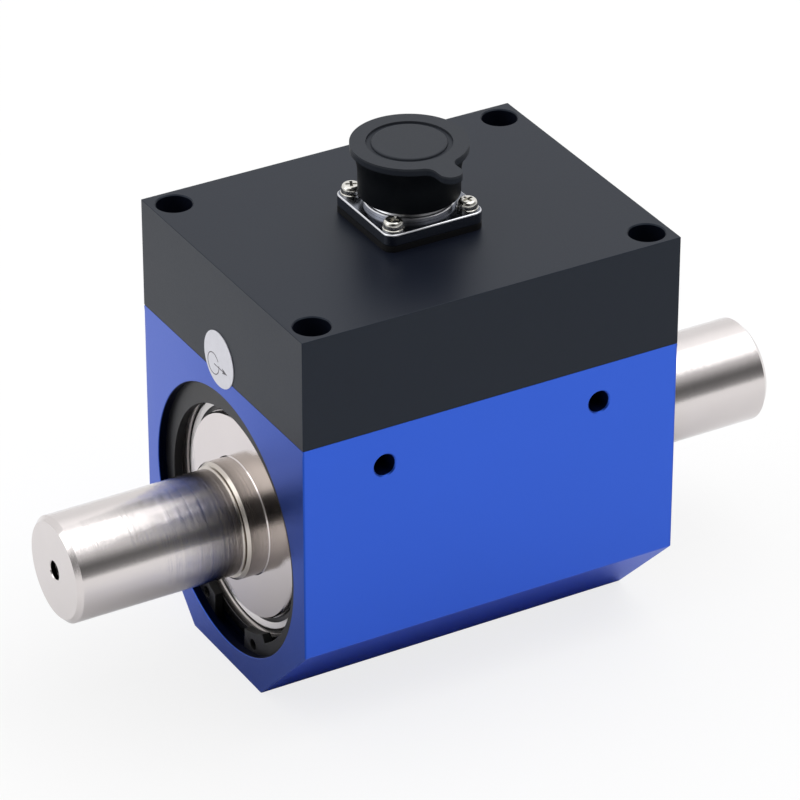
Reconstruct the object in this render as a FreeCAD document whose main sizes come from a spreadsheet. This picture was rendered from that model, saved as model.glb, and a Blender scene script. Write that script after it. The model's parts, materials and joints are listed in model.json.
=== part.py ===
import FreeCAD, Part
import math
import os

import Sketcher
from FreeCAD import Rotation, Vector

# Rotary torque sensor: a turned shaft on two shielded ball bearings in a square aluminium
# block, with an electronics cover, a flanged connector and its rubber cap on top.
# Origin at the middle of the base, +X along the shaft, +Z up. Lengths in millimetres,
# angles in degrees.

SIZES = {
    # housing block
    "body_length": 92,
    "body_width": 72,
    "axis_height": 36,
    "wall_over_groove": 3.5,
    "lower_chamfer": 20.5,
    "bore_edge_break": 0.5,
    "housing_shoulder_diameter": 55,
    "side_hole_spacing": 52.8,
    "side_hole_drop": 9,
    "side_hole_diameter": 5,
    "side_hole_depth": 12,
    "side_hole_mouth": 6.2,
    # bearings, one at each end
    "bearing_outside": 62,
    "bearing_inside": 30,
    "bearing_width": 16,
    "bearing_depth": 5,
    "outer_shoulder_diameter": 54,
    "inner_shoulder_diameter": 40.3,
    "outer_ring_break": 1,
    "inner_ring_break": 0.6,
    "ball_diameter": 9.5,
    "ball_count": 9,
    "ball_clearance": 0.19,
    "cage_thickness": 2.8,
    "cage_width": 12,
    "shield_thickness": 0.5,
    "shield_setback": 0.3,
    "shield_clearance": 0.35,
    # circlips and preload rings
    "circlip_setback": 1.9,
    "circlip_thickness": 2,
    "circlip_groove_width": 2.15,
    "circlip_groove_diameter": 65,
    "circlip_groove_play": 0.2,
    "circlip_half_gap": 6.8,
    "circlip_lug_inner_diameter": 52.4,
    "circlip_lug_width": 8,
    "circlip_band_radius": 27,
    "circlip_band_drop": 23.2,
    "circlip_lug_step": 1.2,
    "circlip_hole_diameter": 2.5,
    "circlip_hole_pitch_radius": 29.2,
    "circlip_turn": 4.5,
    "preload_clearance": 1,
    "preload_width": 2.7,
    # shaft
    "shaft_diameter": 24,
    "shaft_reach": 41,
    "shaft_chamfer": 0.8,
    "collar_diameter": 26.5,
    "collar_reach": 1.1,
    "collar_break": 0.3,
    "relief_width": 0.8,
    "relief_diameter": 23.2,
    "land_diameter": 36,
    "land_start": 10,
    "neck_diameter": 18,
    "neck_fillet": 3,
    "centre_hole_diameter": 4.2,
    "centre_hole_depth": 14,
    "centre_hole_countersink": 0.6,
    "centre_hole_tip": 1.2,
    "slinger_diameter": 46.5,
    "slinger_thickness": 1,
    "slinger_break": 0.3,
    # measuring parts
    "gauge_thickness": 0.3,
    "gauge_length": 8,
    "gauge_angle": 44,
    "gauge_count": 4,
    "core_start": 17,
    "core_width": 7,
    "core_wall": 1.6,
    "rotor_core_height": 3.5,
    "core_air_gap": 0.6,
    "stator_core_fit": 0.1,
    "coil_depth": 2,
    "coil_play": 0.2,
    "speed_disc_diameter": 49,
    "speed_disc_thickness": 1,
    "speed_disc_place": 12,
    "slot_count": 36,
    "slot_width": 1.2,
    "slot_margin": 2.6,
    "slot_rim": 1.1,
    "rotor_board_diameter": 48.8,
    "rotor_board_thickness": 1.6,
    "rotor_board_place": 10.9,
    "pickup_gap": 3,
    "pickup_arm": 2.5,
    "pickup_width": 8,
    "pickup_clearance": 2,
    "window_length": 14,
    "window_width": 12,
    # cover
    "cover_height": 26,
    "cover_end_wall": 8,
    "cover_side_wall": 13,
    "cavity_height": 21,
    "cavity_corner": 5,
    "cover_screw_inset": 5.3,
    "cover_screw_diameter": 4,
    "cover_screw_clearance": 0.25,
    "cover_screw_grip": 12,
    "cover_bore_diameter": 8,
    "cover_bore_depth": 18,
    "cover_head_diameter": 7,
    "cover_head_height": 4,
    "cover_hex_radius": 1.73,
    "cover_hex_depth": 2,
    "thread_play": 0.05,
    "tip_allowance": 1.5,
    "seal_width": 2,
    "seal_depth": 1.5,
    "seal_margin": 1.4,
    # electronics
    "board_clearance": 2,
    "board_thickness": 1.6,
    "board_inset": 4,
    "standoff_height": 6,
    "standoff_radius": 2.75,
    "board_screw_radius": 1.4,
    "board_screw_hole_radius": 1.6,
    "board_screw_head_radius": 2.7,
    "board_screw_head_height": 2,
    "board_screw_grip": 4,
    "chip_side": 10,
    "chip_height": 1.4,
    "small_chip_length": 5,
    "small_chip_width": 4,
    "small_chip_height": 1.2,
    "module_length": 6,
    "module_width": 8,
    "module_height": 1.8,
    "choke_side": 7,
    "choke_height": 4,
    "header_length": 12,
    "header_width": 4,
    "header_height": 6,
    "capacitor_radius": 3,
    "capacitor_height": 7,
    # connector
    "gasket_thickness": 1.4,
    "flange_width": 24,
    "flange_thickness": 2.8,
    "flange_corner": 2.5,
    "flange_screw_pitch": 18.2,
    "barrel_radius": 9.2,
    "barrel_height": 12.8,
    "barrel_bore_radius": 7.5,
    "barrel_tail": 6,
    "barrel_break": 0.5,
    "base_ring_radius": 9.9,
    "base_ring_height": 1,
    "connector_fit": 0.1,
    "key_width": 1.6,
    "key_height": 0.8,
    "insert_face": 4,
    "pin_count": 5,
    "pin_radius": 0.75,
    "pin_circle_radius": 4.3,
    "pin_tip_height": 7.8,
    "pin_tail": 2,
    "lead_radius": 0.5,
    "flange_screw_radius": 1.25,
    "flange_screw_head_radius": 2.2,
    "flange_screw_head_height": 1.8,
    "flange_screw_grip": 4,
    "cross_width": 0.6,
    "cross_span": 2.6,
    "cross_depth": 0.9,
    "washer_radius": 2.35,
    "washer_thickness": 0.5,
    # dust cap
    "cap_clearance": 0.3,
    "cap_skirt_radius": 11.1,
    "cap_skirt_bottom": 5.2,
    "cap_height": 11.9,
    "cap_flare_start": 6.3,
    "cap_flare_radius": 12.3,
    "cap_lip_radius": 12.8,
    "cap_lip_thickness": 1.7,
    "cap_lip_break": 0.5,
    "cap_groove_radius": 8.1,
    "cap_groove_width": 1.25,
    "cap_groove_depth": 0.5,
    "tab_reach": 18.8,
    "tab_half_width": 2.6,
    "tab_thickness": 1.6,
    "tab_blend": 2.5,
    "tab_turn": 2.3,
    # rotation label
    "label_diameter": 13.1,
    "label_thickness": 0.2,
    "label_rise": 3.8,
    "label_offset": 0.8,
}

doc = FreeCAD.newDocument("torque_sensor")
sheet = doc.addObject("Spreadsheet::Sheet", "Sizes")
for row, (alias, value) in enumerate(SIZES.items(), start=1):
    sheet.set(f"A{row}", alias)
    sheet.set(f"B{row}", str(value))
    sheet.setAlias(f"B{row}", alias)
doc.recompute()


class Size:
    """A number that also carries the spreadsheet formula it comes from."""

    def __init__(self, value, formula):
        self.value = float(value)
        self.formula = formula

    def __add__(self, other):
        other = as_size(other)
        return Size(self.value + other.value, f"({self.formula} + {other.formula})")

    def __sub__(self, other):
        other = as_size(other)
        return Size(self.value - other.value, f"({self.formula} - {other.formula})")

    def __mul__(self, other):
        other = as_size(other)
        return Size(self.value * other.value, f"({self.formula} * {other.formula})")

    def __truediv__(self, other):
        other = as_size(other)
        return Size(self.value / other.value, f"({self.formula} / {other.formula})")

    def __rsub__(self, other):
        return as_size(other) - self

    def __neg__(self):
        return Size(-self.value, f"(0 - {self.formula})")

    __radd__ = __add__
    __rmul__ = __mul__


def as_size(item):
    return item if isinstance(item, Size) else Size(item, f"{item}")


def cell(alias):
    return Size(SIZES[alias], f"Sizes.{alias}")


def cosine(angle):
    angle = as_size(angle)
    return Size(math.cos(math.radians(angle.value)), f"cos({angle.formula} * 1 deg)")


def sine(angle):
    angle = as_size(angle)
    return Size(math.sin(math.radians(angle.value)), f"sin({angle.formula} * 1 deg)")


def root(square):
    return Size(math.sqrt(square.value), f"sqrt({square.formula})")


def other_leg(hypotenuse, leg):
    """Remaining side of a right triangle, for points at a known width on a circle."""
    return root(hypotenuse * hypotenuse - leg * leg)


def bind(item, path, size):
    item.setExpression(path, as_size(size).formula)


# Places that several pieces share
half_length = cell("body_length") / 2
half_width = cell("body_width") / 2
above_axis = cell("circlip_groove_diameter") / 2 + cell("wall_over_groove")
body_height = cell("axis_height") + above_axis
shaft_radius = cell("shaft_diameter") / 2
collar_radius = cell("collar_diameter") / 2
land_radius = cell("land_diameter") / 2
neck_radius = cell("neck_diameter") / 2
bearing_radius = cell("bearing_outside") / 2
seat_radius = cell("bearing_inside") / 2
pitch_radius = (cell("bearing_outside") + cell("bearing_inside")) / 4
bearing_end = cell("bearing_depth") + cell("bearing_width")
bearing_middle = cell("bearing_depth") + cell("bearing_width") / 2
shoulder_radius = cell("housing_shoulder_diameter") / 2
ball_radius = cell("ball_diameter") / 2
race_radius = ball_radius + cell("ball_clearance")
cover_top = body_height + cell("cover_height")
screw_x = half_length - cell("cover_screw_inset")
screw_y = half_width - cell("cover_screw_inset")
board_bottom = body_height + cell("standoff_height")
board_top = board_bottom + cell("board_thickness")
cavity_half_length = half_length - cell("cover_end_wall")
cavity_half_width = half_width - cell("cover_side_wall")
board_half_length = cavity_half_length - cell("board_clearance")
board_half_width = cavity_half_width - cell("board_clearance")
standoff_x = board_half_length - cell("board_inset")
standoff_y = board_half_width - cell("board_inset")
flange_bottom = cover_top + cell("gasket_thickness")
flange_top = flange_bottom + cell("flange_thickness")
flange_screw_place = cell("flange_screw_pitch") / 2


class Arc:
    """Round stretch from one corner of an outline to the next."""

    def __init__(self, radius, centre, counterclockwise):
        self.radius = as_size(radius)
        self.centre = (as_size(centre[0]), as_size(centre[1]))
        self.counterclockwise = counterclockwise


def new_body(label):
    body = doc.addObject("PartDesign::Body", label)
    body.Label = label
    body.AllowCompound = True
    return body


def place(item, x=0, y=0, z=0):
    """Binds the position of a finished piece."""
    for axis, size in (("x", x), ("y", y), ("z", z)):
        bind(item, f"Placement.Base.{axis}", size)


def origin_item(body, role):
    return next(item for item in body.Origin.OriginFeatures if item.Role == role)


def new_sketch(body, role, offset=0):
    """Sketch on one of the body's own planes, moved along the plane's normal."""
    sketch = body.newObject("Sketcher::SketchObject", "Sketch")
    sketch.AttachmentSupport = [(origin_item(body, role), "")]
    sketch.MapMode = "FlatFace"
    bind(sketch, ".AttachmentOffset.Base.z", offset)
    return sketch


def fix_point(sketch, geometry, position, h, v):
    """Holds a point of the sketch at formulas for both of its coordinates."""
    for kind, axis, size in (("DistanceX", -2, h), ("DistanceY", -1, v)):
        if not isinstance(size, Size) and size == 0:
            sketch.addConstraint(Sketcher.Constraint("PointOnObject", geometry, position, axis))
            continue
        size = as_size(size)
        index = sketch.addConstraint(
            Sketcher.Constraint(kind, -1, 1, geometry, position, size.value)
        )
        bind(sketch, f"Constraints[{index}]", size)


def fix_radius(sketch, geometry, radius):
    index = sketch.addConstraint(Sketcher.Constraint("Radius", geometry, radius.value))
    bind(sketch, f"Constraints[{index}]", radius)


def circle(sketch, radius, h=0, v=0):
    radius = as_size(radius)
    centre = Vector(as_size(h).value, as_size(v).value, 0)
    geometry = sketch.addGeometry(Part.Circle(centre, Vector(0, 0, 1), radius.value))
    fix_point(sketch, geometry, 3, h, v)
    fix_radius(sketch, geometry, radius)


def outline(sketch, path):
    """Closed loop through corners (h, v), with an Arc between two corners where one is given."""
    edges = []
    for index, corner in enumerate(path):
        if isinstance(corner, Arc):
            continue
        following = path[(index + 1) % len(path)]
        if isinstance(following, Arc):
            edges.append((corner, path[(index + 2) % len(path)], following))
        else:
            edges.append((corner, following, None))
    drawn = []
    for start, finish, arc in edges:
        first = Vector(as_size(start[0]).value, as_size(start[1]).value, 0)
        last = Vector(as_size(finish[0]).value, as_size(finish[1]).value, 0)
        if arc is None:
            drawn.append((sketch.addGeometry(Part.LineSegment(first, last)), 1, 2))
            continue
        centre = Vector(arc.centre[0].value, arc.centre[1].value, 0)
        begin, end = (first, last) if arc.counterclockwise else (last, first)
        begin_angle = math.atan2(begin.y - centre.y, begin.x - centre.x)
        end_angle = math.atan2(end.y - centre.y, end.x - centre.x)
        full = Part.Circle(centre, Vector(0, 0, 1), arc.radius.value)
        geometry = sketch.addGeometry(Part.ArcOfCircle(full, begin_angle, end_angle))
        fix_radius(sketch, geometry, arc.radius)
        drawn.append((geometry, 1, 2) if arc.counterclockwise else (geometry, 2, 1))
    for index, (geometry, begin_point, end_point) in enumerate(drawn):
        following, next_begin, _ = drawn[(index + 1) % len(drawn)]
        sketch.addConstraint(
            Sketcher.Constraint("Coincident", geometry, end_point, following, next_begin)
        )
        fix_point(sketch, geometry, begin_point, *edges[index][0])


def rectangle(sketch, half_h, half_v, h=0, v=0):
    low_h, high_h = h - half_h, h + half_h
    low_v, high_v = v - half_v, v + half_v
    outline(sketch, [(low_h, low_v), (high_h, low_v), (high_h, high_v), (low_h, high_v)])


def rounded_rectangle(sketch, half_h, half_v, corner):
    """Rectangle about the sketch's origin with four equal round corners."""
    flat_h = half_h - corner
    flat_v = half_v - corner
    outline(
        sketch,
        [
            (-flat_h, -half_v),
            (flat_h, -half_v),
            Arc(corner, (flat_h, -flat_v), True),
            (half_h, -flat_v),
            (half_h, flat_v),
            Arc(corner, (flat_h, flat_v), True),
            (flat_h, half_v),
            (-flat_h, half_v),
            Arc(corner, (-flat_h, flat_v), True),
            (-half_h, flat_v),
            (-half_h, -flat_v),
            Arc(corner, (-flat_h, -flat_v), True),
        ],
    )


def pad(body, sketch, length, midplane=False, reverse=False):
    feature = body.newObject("PartDesign::Pad", "Pad")
    feature.Profile = sketch
    feature.Midplane = midplane
    feature.Reversed = reverse
    bind(feature, "Length", length)
    return feature


def pocket(body, sketch, length, reverse=False, midplane=False):
    """Cut against the sketch's normal, or along it when reversed."""
    feature = body.newObject("PartDesign::Pocket", "Pocket")
    feature.Profile = sketch
    feature.Midplane = midplane
    feature.Reversed = reverse
    bind(feature, "Length", length)
    return feature


def turn(body, sketch, axis="H_Axis", cut=False):
    """Full revolution of a sketch about one of its own axes."""
    kind = "Groove" if cut else "Revolution"
    feature = body.newObject(f"PartDesign::{kind}", kind)
    feature.Profile = sketch
    feature.ReferenceAxis = (sketch, [axis])
    feature.Angle = 360
    return feature


def drill(body, sketch, diameter, depth, mouth=None, mouth_depth=None):
    """Blind or through holes at the sketch's circles, countersunk or counterbored."""
    doc.recompute()
    feature = body.newObject("PartDesign::Hole", "Hole")
    feature.Profile = sketch
    feature.DepthType = "Dimension"
    feature.DrillPoint = "Angled"
    bind(feature, "Diameter", diameter)
    bind(feature, "Depth", depth)
    if mouth is not None and mouth_depth is None:
        feature.HoleCutType = "Countersink"
        feature.HoleCutCountersinkAngle = 90
        bind(feature, "HoleCutDiameter", mouth)
    if mouth_depth is not None:
        feature.HoleCutType = "Counterbore"
        bind(feature, "HoleCutDiameter", mouth)
        bind(feature, "HoleCutDepth", mouth_depth)
    return feature


def around(body, features, role, count):
    """Repeats features evenly about one of the body's own axes."""
    pattern = body.newObject("PartDesign::PolarPattern", "PolarPattern")
    pattern.Originals = features
    pattern.Axis = (origin_item(body, role), [""])
    pattern.Angle = 360
    bind(pattern, "Occurrences", count)
    body.Tip = pattern
    return pattern


def mirror(body, features, role):
    twin = body.newObject("PartDesign::Mirrored", "Mirrored")
    twin.Originals = features
    twin.MirrorPlane = (origin_item(body, role), [""])
    body.Tip = twin
    return twin


def group(label, pieces):
    compound = doc.addObject("Part::Compound", label)
    compound.Label = label
    compound.Links = pieces
    return compound


def at_four_corners(label, source):
    """The source and its mirror images across both middle planes, as one group."""
    pieces = [source]
    for normal in (Vector(1, 0, 0), Vector(0, 1, 0)):
        for piece in list(pieces):
            image = doc.addObject("Part::Mirroring", f"{label}_image")
            image.Source = piece
            image.Base = Vector(0, 0, 0)
            image.Normal = normal
            pieces.append(image)
    return group(label, pieces)


def four_places(x, y):
    return [(x, y), (-x, y), (-x, -y), (x, -y)]


def at_end(body, end):
    """Places a piece drawn by its depth from the end face at the front or rear end."""
    front = end == "front"
    if not front:
        body.Placement.Rotation = Rotation(Vector(0, 0, 1), 180)
    place(body, -half_length if front else half_length, 0, cell("axis_height"))


def ring(label, start, width, inner, outer, bevel=0):
    """Plain ring about the shaft, with its outer corners broken where asked."""
    body = new_body(label)
    sketch = new_sketch(body, "XZ_Plane")
    finish = start + width
    if isinstance(bevel, Size):
        path = [
            (start, inner),
            (finish, inner),
            (finish, outer - bevel),
            (finish - bevel, outer),
            (start + bevel, outer),
            (start, outer - bevel),
        ]
    else:
        path = [(start, inner), (finish, inner), (finish, outer), (start, outer)]
    outline(sketch, path)
    turn(body, sketch)
    return body


def make_housing():
    body = new_body("housing")
    section = new_sketch(body, "YZ_Plane")
    base = cell("axis_height")
    flat = half_width - cell("lower_chamfer")
    shoulder = base - cell("lower_chamfer")
    outline(
        section,
        [
            (-flat, -base),
            (flat, -base),
            (half_width, -shoulder),
            (half_width, above_axis),
            (-half_width, above_axis),
            (-half_width, -shoulder),
        ],
    )
    pad(body, section, cell("body_length"), midplane=True)

    # Stepped bore: edge break, circlip groove, bearing seat and inner shoulder, both ends
    mouth = cell("bore_edge_break")
    groove = cell("circlip_groove_diameter") / 2
    groove_start = half_length - cell("circlip_setback")
    groove_end = groove_start - cell("circlip_groove_width")
    shoulder_place = half_length - bearing_end
    bore = new_sketch(body, "XZ_Plane")
    outline(
        bore,
        [
            (0, 0),
            (half_length, 0),
            (half_length, bearing_radius + mouth),
            (half_length - mouth, bearing_radius),
            (groove_start, bearing_radius),
            (groove_start, groove),
            (groove_end, groove),
            (groove_end, bearing_radius),
            (shoulder_place, bearing_radius),
            (shoulder_place, shoulder_radius),
            (0, shoulder_radius),
        ],
    )
    bored = turn(body, bore, cut=True)
    mirror(body, [bored], "YZ_Plane")

    # Window from the bore up into the electronics space, over the speed disc
    window = new_sketch(body, "XY_Plane")
    rectangle(
        window,
        cell("window_length") / 2,
        cell("window_width") / 2,
        h=cell("speed_disc_place"),
    )
    pocket(body, window, above_axis, reverse=True)

    # Groove for the cover seal
    seal = new_sketch(body, "XY_Plane", above_axis)
    seal_loops(seal, 0)
    pocket(body, seal, cell("seal_depth"))

    # Threaded holes for the cover screws
    threads = new_sketch(body, "XY_Plane", above_axis)
    for x, y in four_places(screw_x, screw_y):
        circle(threads, cell("cover_screw_diameter") / 2, x, y)
    drill(
        body,
        threads,
        cell("cover_screw_diameter"),
        cell("cover_screw_grip") + cell("tip_allowance"),
    )

    # Threaded mounting holes in both sides
    for side in (1, -1):
        spots = new_sketch(body, "XZ_Plane", side * half_width)
        for x in (-cell("side_hole_spacing") / 2, cell("side_hole_spacing") / 2):
            circle(spots, cell("side_hole_diameter") / 2, x, above_axis - cell("side_hole_drop"))
        hole = drill(
            body,
            spots,
            cell("side_hole_diameter"),
            cell("side_hole_depth"),
            mouth=cell("side_hole_mouth"),
        )
        hole.Reversed = side < 0
    place(body, 0, 0, cell("axis_height"))
    return body


def seal_loops(sketch, play):
    """Two nested round-cornered loops between the cavity and the cover screws."""
    inner_x = cavity_half_length + cell("seal_margin") + play
    inner_y = cavity_half_width + cell("seal_margin") + play
    corner = cell("cavity_corner")
    width = cell("seal_width") - play - play
    rounded_rectangle(sketch, inner_x + width, inner_y + width, corner + width)
    rounded_rectangle(sketch, inner_x, inner_y, corner)


def make_cover_seal():
    body = new_body("cover_seal")
    sketch = new_sketch(body, "XY_Plane")
    seal_loops(sketch, cell("thread_play"))
    pad(body, sketch, cell("seal_depth"), reverse=True)
    place(body, 0, 0, body_height)
    return body


def make_cover():
    body = new_body("cover")
    block = new_sketch(body, "XY_Plane")
    rectangle(block, half_length, half_width)
    pad(body, block, cell("cover_height"))

    cavity = new_sketch(body, "XY_Plane")
    rounded_rectangle(
        cavity,
        cavity_half_length,
        cavity_half_width,
        cell("cavity_corner"),
    )
    pocket(body, cavity, cell("cavity_height"), reverse=True)

    passage = new_sketch(body, "XY_Plane", cell("cover_height"))
    circle(passage, cell("barrel_radius") + cell("connector_fit"))
    pocket(body, passage, cell("cover_height"))

    bolts = new_sketch(body, "XY_Plane", cell("cover_height"))
    for x, y in four_places(screw_x, screw_y):
        circle(bolts, cell("cover_bore_diameter") / 2, x, y)
    drill(
        body,
        bolts,
        cell("cover_screw_diameter") + 2 * cell("cover_screw_clearance"),
        cell("cover_height"),
        mouth=cell("cover_bore_diameter"),
        mouth_depth=cell("cover_bore_depth"),
    )

    taps = new_sketch(body, "XY_Plane", cell("cover_height"))
    tap_radius = cell("flange_screw_radius") + cell("thread_play")
    for x, y in four_places(flange_screw_place, flange_screw_place):
        circle(taps, tap_radius, x, y)
    pocket(body, taps, cell("cover_height") - cell("cavity_height"))
    place(body, 0, 0, body_height)
    return body


def make_cover_screw():
    """Socket-head screw standing in its counterbore, head up."""
    body = new_body("cover_screw")
    head = cell("cover_head_height")
    shank = cell("cover_screw_diameter") / 2 - cell("thread_play")
    length = cell("cover_height") - cell("cover_bore_depth") + cell("cover_screw_grip")
    profile = new_sketch(body, "XZ_Plane")
    edge = cell("collar_break")
    head_radius = cell("cover_head_diameter") / 2
    outline(
        profile,
        [
            (0, -length),
            (shank - edge, -length),
            (shank, edge - length),
            (shank, 0),
            (head_radius, 0),
            (head_radius, head - edge),
            (head_radius - edge, head),
            (0, head),
        ],
    )
    turn(body, profile, axis="V_Axis")
    socket = new_sketch(body, "XY_Plane", head)
    reach = cell("cover_hex_radius")
    outline(
        socket,
        [(reach * cosine(60 * corner), reach * sine(60 * corner)) for corner in range(6)],
    )
    pocket(body, socket, cell("cover_hex_depth"))
    place(body, screw_x, screw_y, cover_top - cell("cover_bore_depth"))
    return at_four_corners("cover_screws", body)


def make_outer_ring(end):
    body = new_body(f"{end}_outer_ring")
    sketch = new_sketch(body, "XZ_Plane")
    start = cell("bearing_depth")
    shoulder = cell("outer_shoulder_diameter") / 2
    edge = cell("outer_ring_break")
    race_half = other_leg(race_radius, shoulder - pitch_radius)
    outline(
        sketch,
        [
            (start, shoulder),
            (bearing_middle - race_half, shoulder),
            Arc(race_radius, (bearing_middle, pitch_radius), False),
            (bearing_middle + race_half, shoulder),
            (bearing_end, shoulder),
            (bearing_end, bearing_radius - edge),
            (bearing_end - edge, bearing_radius),
            (start + edge, bearing_radius),
            (start, bearing_radius - edge),
        ],
    )
    turn(body, sketch)
    at_end(body, end)
    return body


def make_inner_ring(end):
    body = new_body(f"{end}_inner_ring")
    sketch = new_sketch(body, "XZ_Plane")
    start = cell("bearing_depth")
    shoulder = cell("inner_shoulder_diameter") / 2
    edge = cell("inner_ring_break")
    race_half = other_leg(race_radius, pitch_radius - shoulder)
    outline(
        sketch,
        [
            (start + edge, seat_radius),
            (bearing_end - edge, seat_radius),
            (bearing_end, seat_radius + edge),
            (bearing_end, shoulder),
            (bearing_middle + race_half, shoulder),
            Arc(race_radius, (bearing_middle, pitch_radius), False),
            (bearing_middle - race_half, shoulder),
            (start, shoulder),
            (start, seat_radius + edge),
        ],
    )
    turn(body, sketch)
    at_end(body, end)
    return body


def make_shields(end):
    """The two thin closing discs, pressed into the outer ring at its faces."""
    body = new_body(f"{end}_shields")
    sketch = new_sketch(body, "XZ_Plane")
    inner = cell("inner_shoulder_diameter") / 2 + cell("shield_clearance")
    outer = cell("outer_shoulder_diameter") / 2
    thickness = cell("shield_thickness")
    near = cell("bearing_depth") + cell("shield_setback")
    far = bearing_end - cell("shield_setback") - thickness
    for start in (near, far):
        finish = start + thickness
        outline(sketch, [(start, inner), (finish, inner), (finish, outer), (start, outer)])
    turn(body, sketch)
    at_end(body, end)
    return body


def make_cage(end):
    """One-piece cage: a ring with a round radial pocket for every ball."""
    body = new_body(f"{end}_cage")
    sketch = new_sketch(body, "XZ_Plane")
    half = cell("cage_width") / 2
    inner = pitch_radius - cell("cage_thickness") / 2
    outer = pitch_radius + cell("cage_thickness") / 2
    rectangle_path = [
        (bearing_middle - half, inner),
        (bearing_middle + half, inner),
        (bearing_middle + half, outer),
        (bearing_middle - half, outer),
    ]
    outline(sketch, rectangle_path)
    turn(body, sketch)
    opening = new_sketch(body, "XY_Plane")
    circle(opening, race_radius, bearing_middle, 0)
    cut = pocket(body, opening, bearing_radius, reverse=True)
    around(body, [cut], "X_Axis", cell("ball_count"))
    at_end(body, end)
    return body


def make_balls(end):
    body = new_body(f"{end}_balls")
    sketch = new_sketch(body, "XZ_Plane", 0)
    quarter = Arc(ball_radius, (bearing_middle, pitch_radius), True)
    outline(
        sketch,
        [
            (bearing_middle, pitch_radius + ball_radius),
            (bearing_middle, pitch_radius - ball_radius),
            quarter,
            (bearing_middle + ball_radius, pitch_radius),
            quarter,
        ],
    )
    ball = body.newObject("PartDesign::Revolution", "Revolution")
    ball.Profile = sketch
    ball.ReferenceAxis = (sketch, ["Edge1"])
    ball.Angle = 360
    around(body, [ball], "X_Axis", cell("ball_count"))
    at_end(body, end)
    return body


def make_circlip(end):
    """Internal circlip: eccentric band, two lugs with plier holes, gap at the bottom."""
    body = new_body(f"{end}_circlip")
    sketch = new_sketch(body, "YZ_Plane", cell("circlip_setback"))
    outer = cell("circlip_groove_diameter") / 2 - cell("circlip_groove_play")
    gap = cell("circlip_half_gap")
    lug_radius = cell("circlip_lug_inner_diameter") / 2
    lug_end = gap + cell("circlip_lug_width")
    band = cell("circlip_band_radius")
    band_start = lug_end + cell("circlip_lug_step")
    band_drop = cell("circlip_band_drop")
    band_centre = other_leg(band, band_start) - band_drop
    outer_drop = other_leg(outer, gap)
    lug_tip_drop = other_leg(lug_radius, gap)
    lug_root_drop = other_leg(lug_radius, lug_end)
    outline(
        sketch,
        [
            (gap, -outer_drop),
            Arc(outer, (0, 0), True),
            (-gap, -outer_drop),
            (-gap, -lug_tip_drop),
            Arc(lug_radius, (0, 0), False),
            (-lug_end, -lug_root_drop),
            (-band_start, -band_drop),
            Arc(band, (0, band_centre), False),
            (band_start, -band_drop),
            (lug_end, -lug_root_drop),
            Arc(lug_radius, (0, 0), False),
            (gap, -lug_tip_drop),
        ],
    )
    hole_circle = cell("circlip_hole_pitch_radius")
    hole_place = gap + cell("circlip_lug_width") / 2
    for h in (-hole_place, hole_place):
        circle(sketch, cell("circlip_hole_diameter") / 2, h, -other_leg(hole_circle, hole_place))
    pad(body, sketch, cell("circlip_thickness"))
    front = end == "front"
    turned = Rotation(Vector(1, 0, 0), SIZES["circlip_turn"])
    facing = Rotation(Vector(0, 0, 1), 0 if front else 180)
    body.Placement.Rotation = facing * turned
    place(body, -half_length if front else half_length, 0, cell("axis_height"))
    return body


def make_preload_ring(end):
    start = cell("circlip_setback") + cell("circlip_thickness")
    width = cell("bearing_depth") - start
    outside = bearing_radius - cell("preload_clearance")
    body = ring(f"{end}_preload_ring", start, width, outside - cell("preload_width"), outside)
    at_end(body, end)
    return body


def make_slinger(end):
    """Polished disc on the collar, in front of the bearing's inner ring."""
    body = new_body(f"{end}_slinger")
    sketch = new_sketch(body, "XZ_Plane")
    finish = cell("bearing_depth")
    start = finish - cell("slinger_thickness")
    edge = cell("slinger_break")
    outer = cell("slinger_diameter") / 2
    outline(
        sketch,
        [
            (finish, collar_radius),
            (finish, outer),
            (start + edge, outer),
            (start, outer - edge),
            (start, collar_radius + edge),
            (start + edge, collar_radius),
        ],
    )
    turn(body, sketch)
    at_end(body, end)
    return body


def make_shaft():
    """One turned piece: shaft ends, collars, bearing seats, wide lands and a thin neck."""
    body = new_body("shaft")
    half = new_sketch(body, "XZ_Plane")
    fillet = cell("neck_fillet")
    land = cell("land_start")
    seat_start = half_length - bearing_end
    seat_end = half_length - cell("bearing_depth")
    collar_end = half_length + cell("collar_reach")
    relief_end = collar_end + cell("relief_width")
    relief = cell("relief_diameter") / 2
    tip = half_length + cell("shaft_reach")
    edge = cell("collar_break")
    bevel = cell("shaft_chamfer")
    hole = cell("centre_hole_diameter") / 2
    sink = cell("centre_hole_countersink")
    hole_end = tip - cell("centre_hole_depth")
    outline(
        half,
        [
            (0, 0),
            (hole_end - cell("centre_hole_tip"), 0),
            (hole_end, hole),
            (tip - sink, hole),
            (tip, hole + sink),
            (tip, shaft_radius - bevel),
            (tip - bevel, shaft_radius),
            (relief_end, shaft_radius),
            (relief_end, relief),
            (collar_end, relief),
            (collar_end, collar_radius - edge),
            (collar_end - edge, collar_radius),
            (seat_end, collar_radius),
            (seat_end, seat_radius),
            (seat_start, seat_radius),
            (seat_start, land_radius),
            (land, land_radius),
            (land, neck_radius + fillet),
            Arc(fillet, (land - fillet, neck_radius + fillet), False),
            (land - fillet, neck_radius),
            (0, neck_radius),
        ],
    )
    turned = turn(body, half)
    mirror(body, [turned], "YZ_Plane")
    place(body, 0, 0, cell("axis_height"))
    return body


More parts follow.
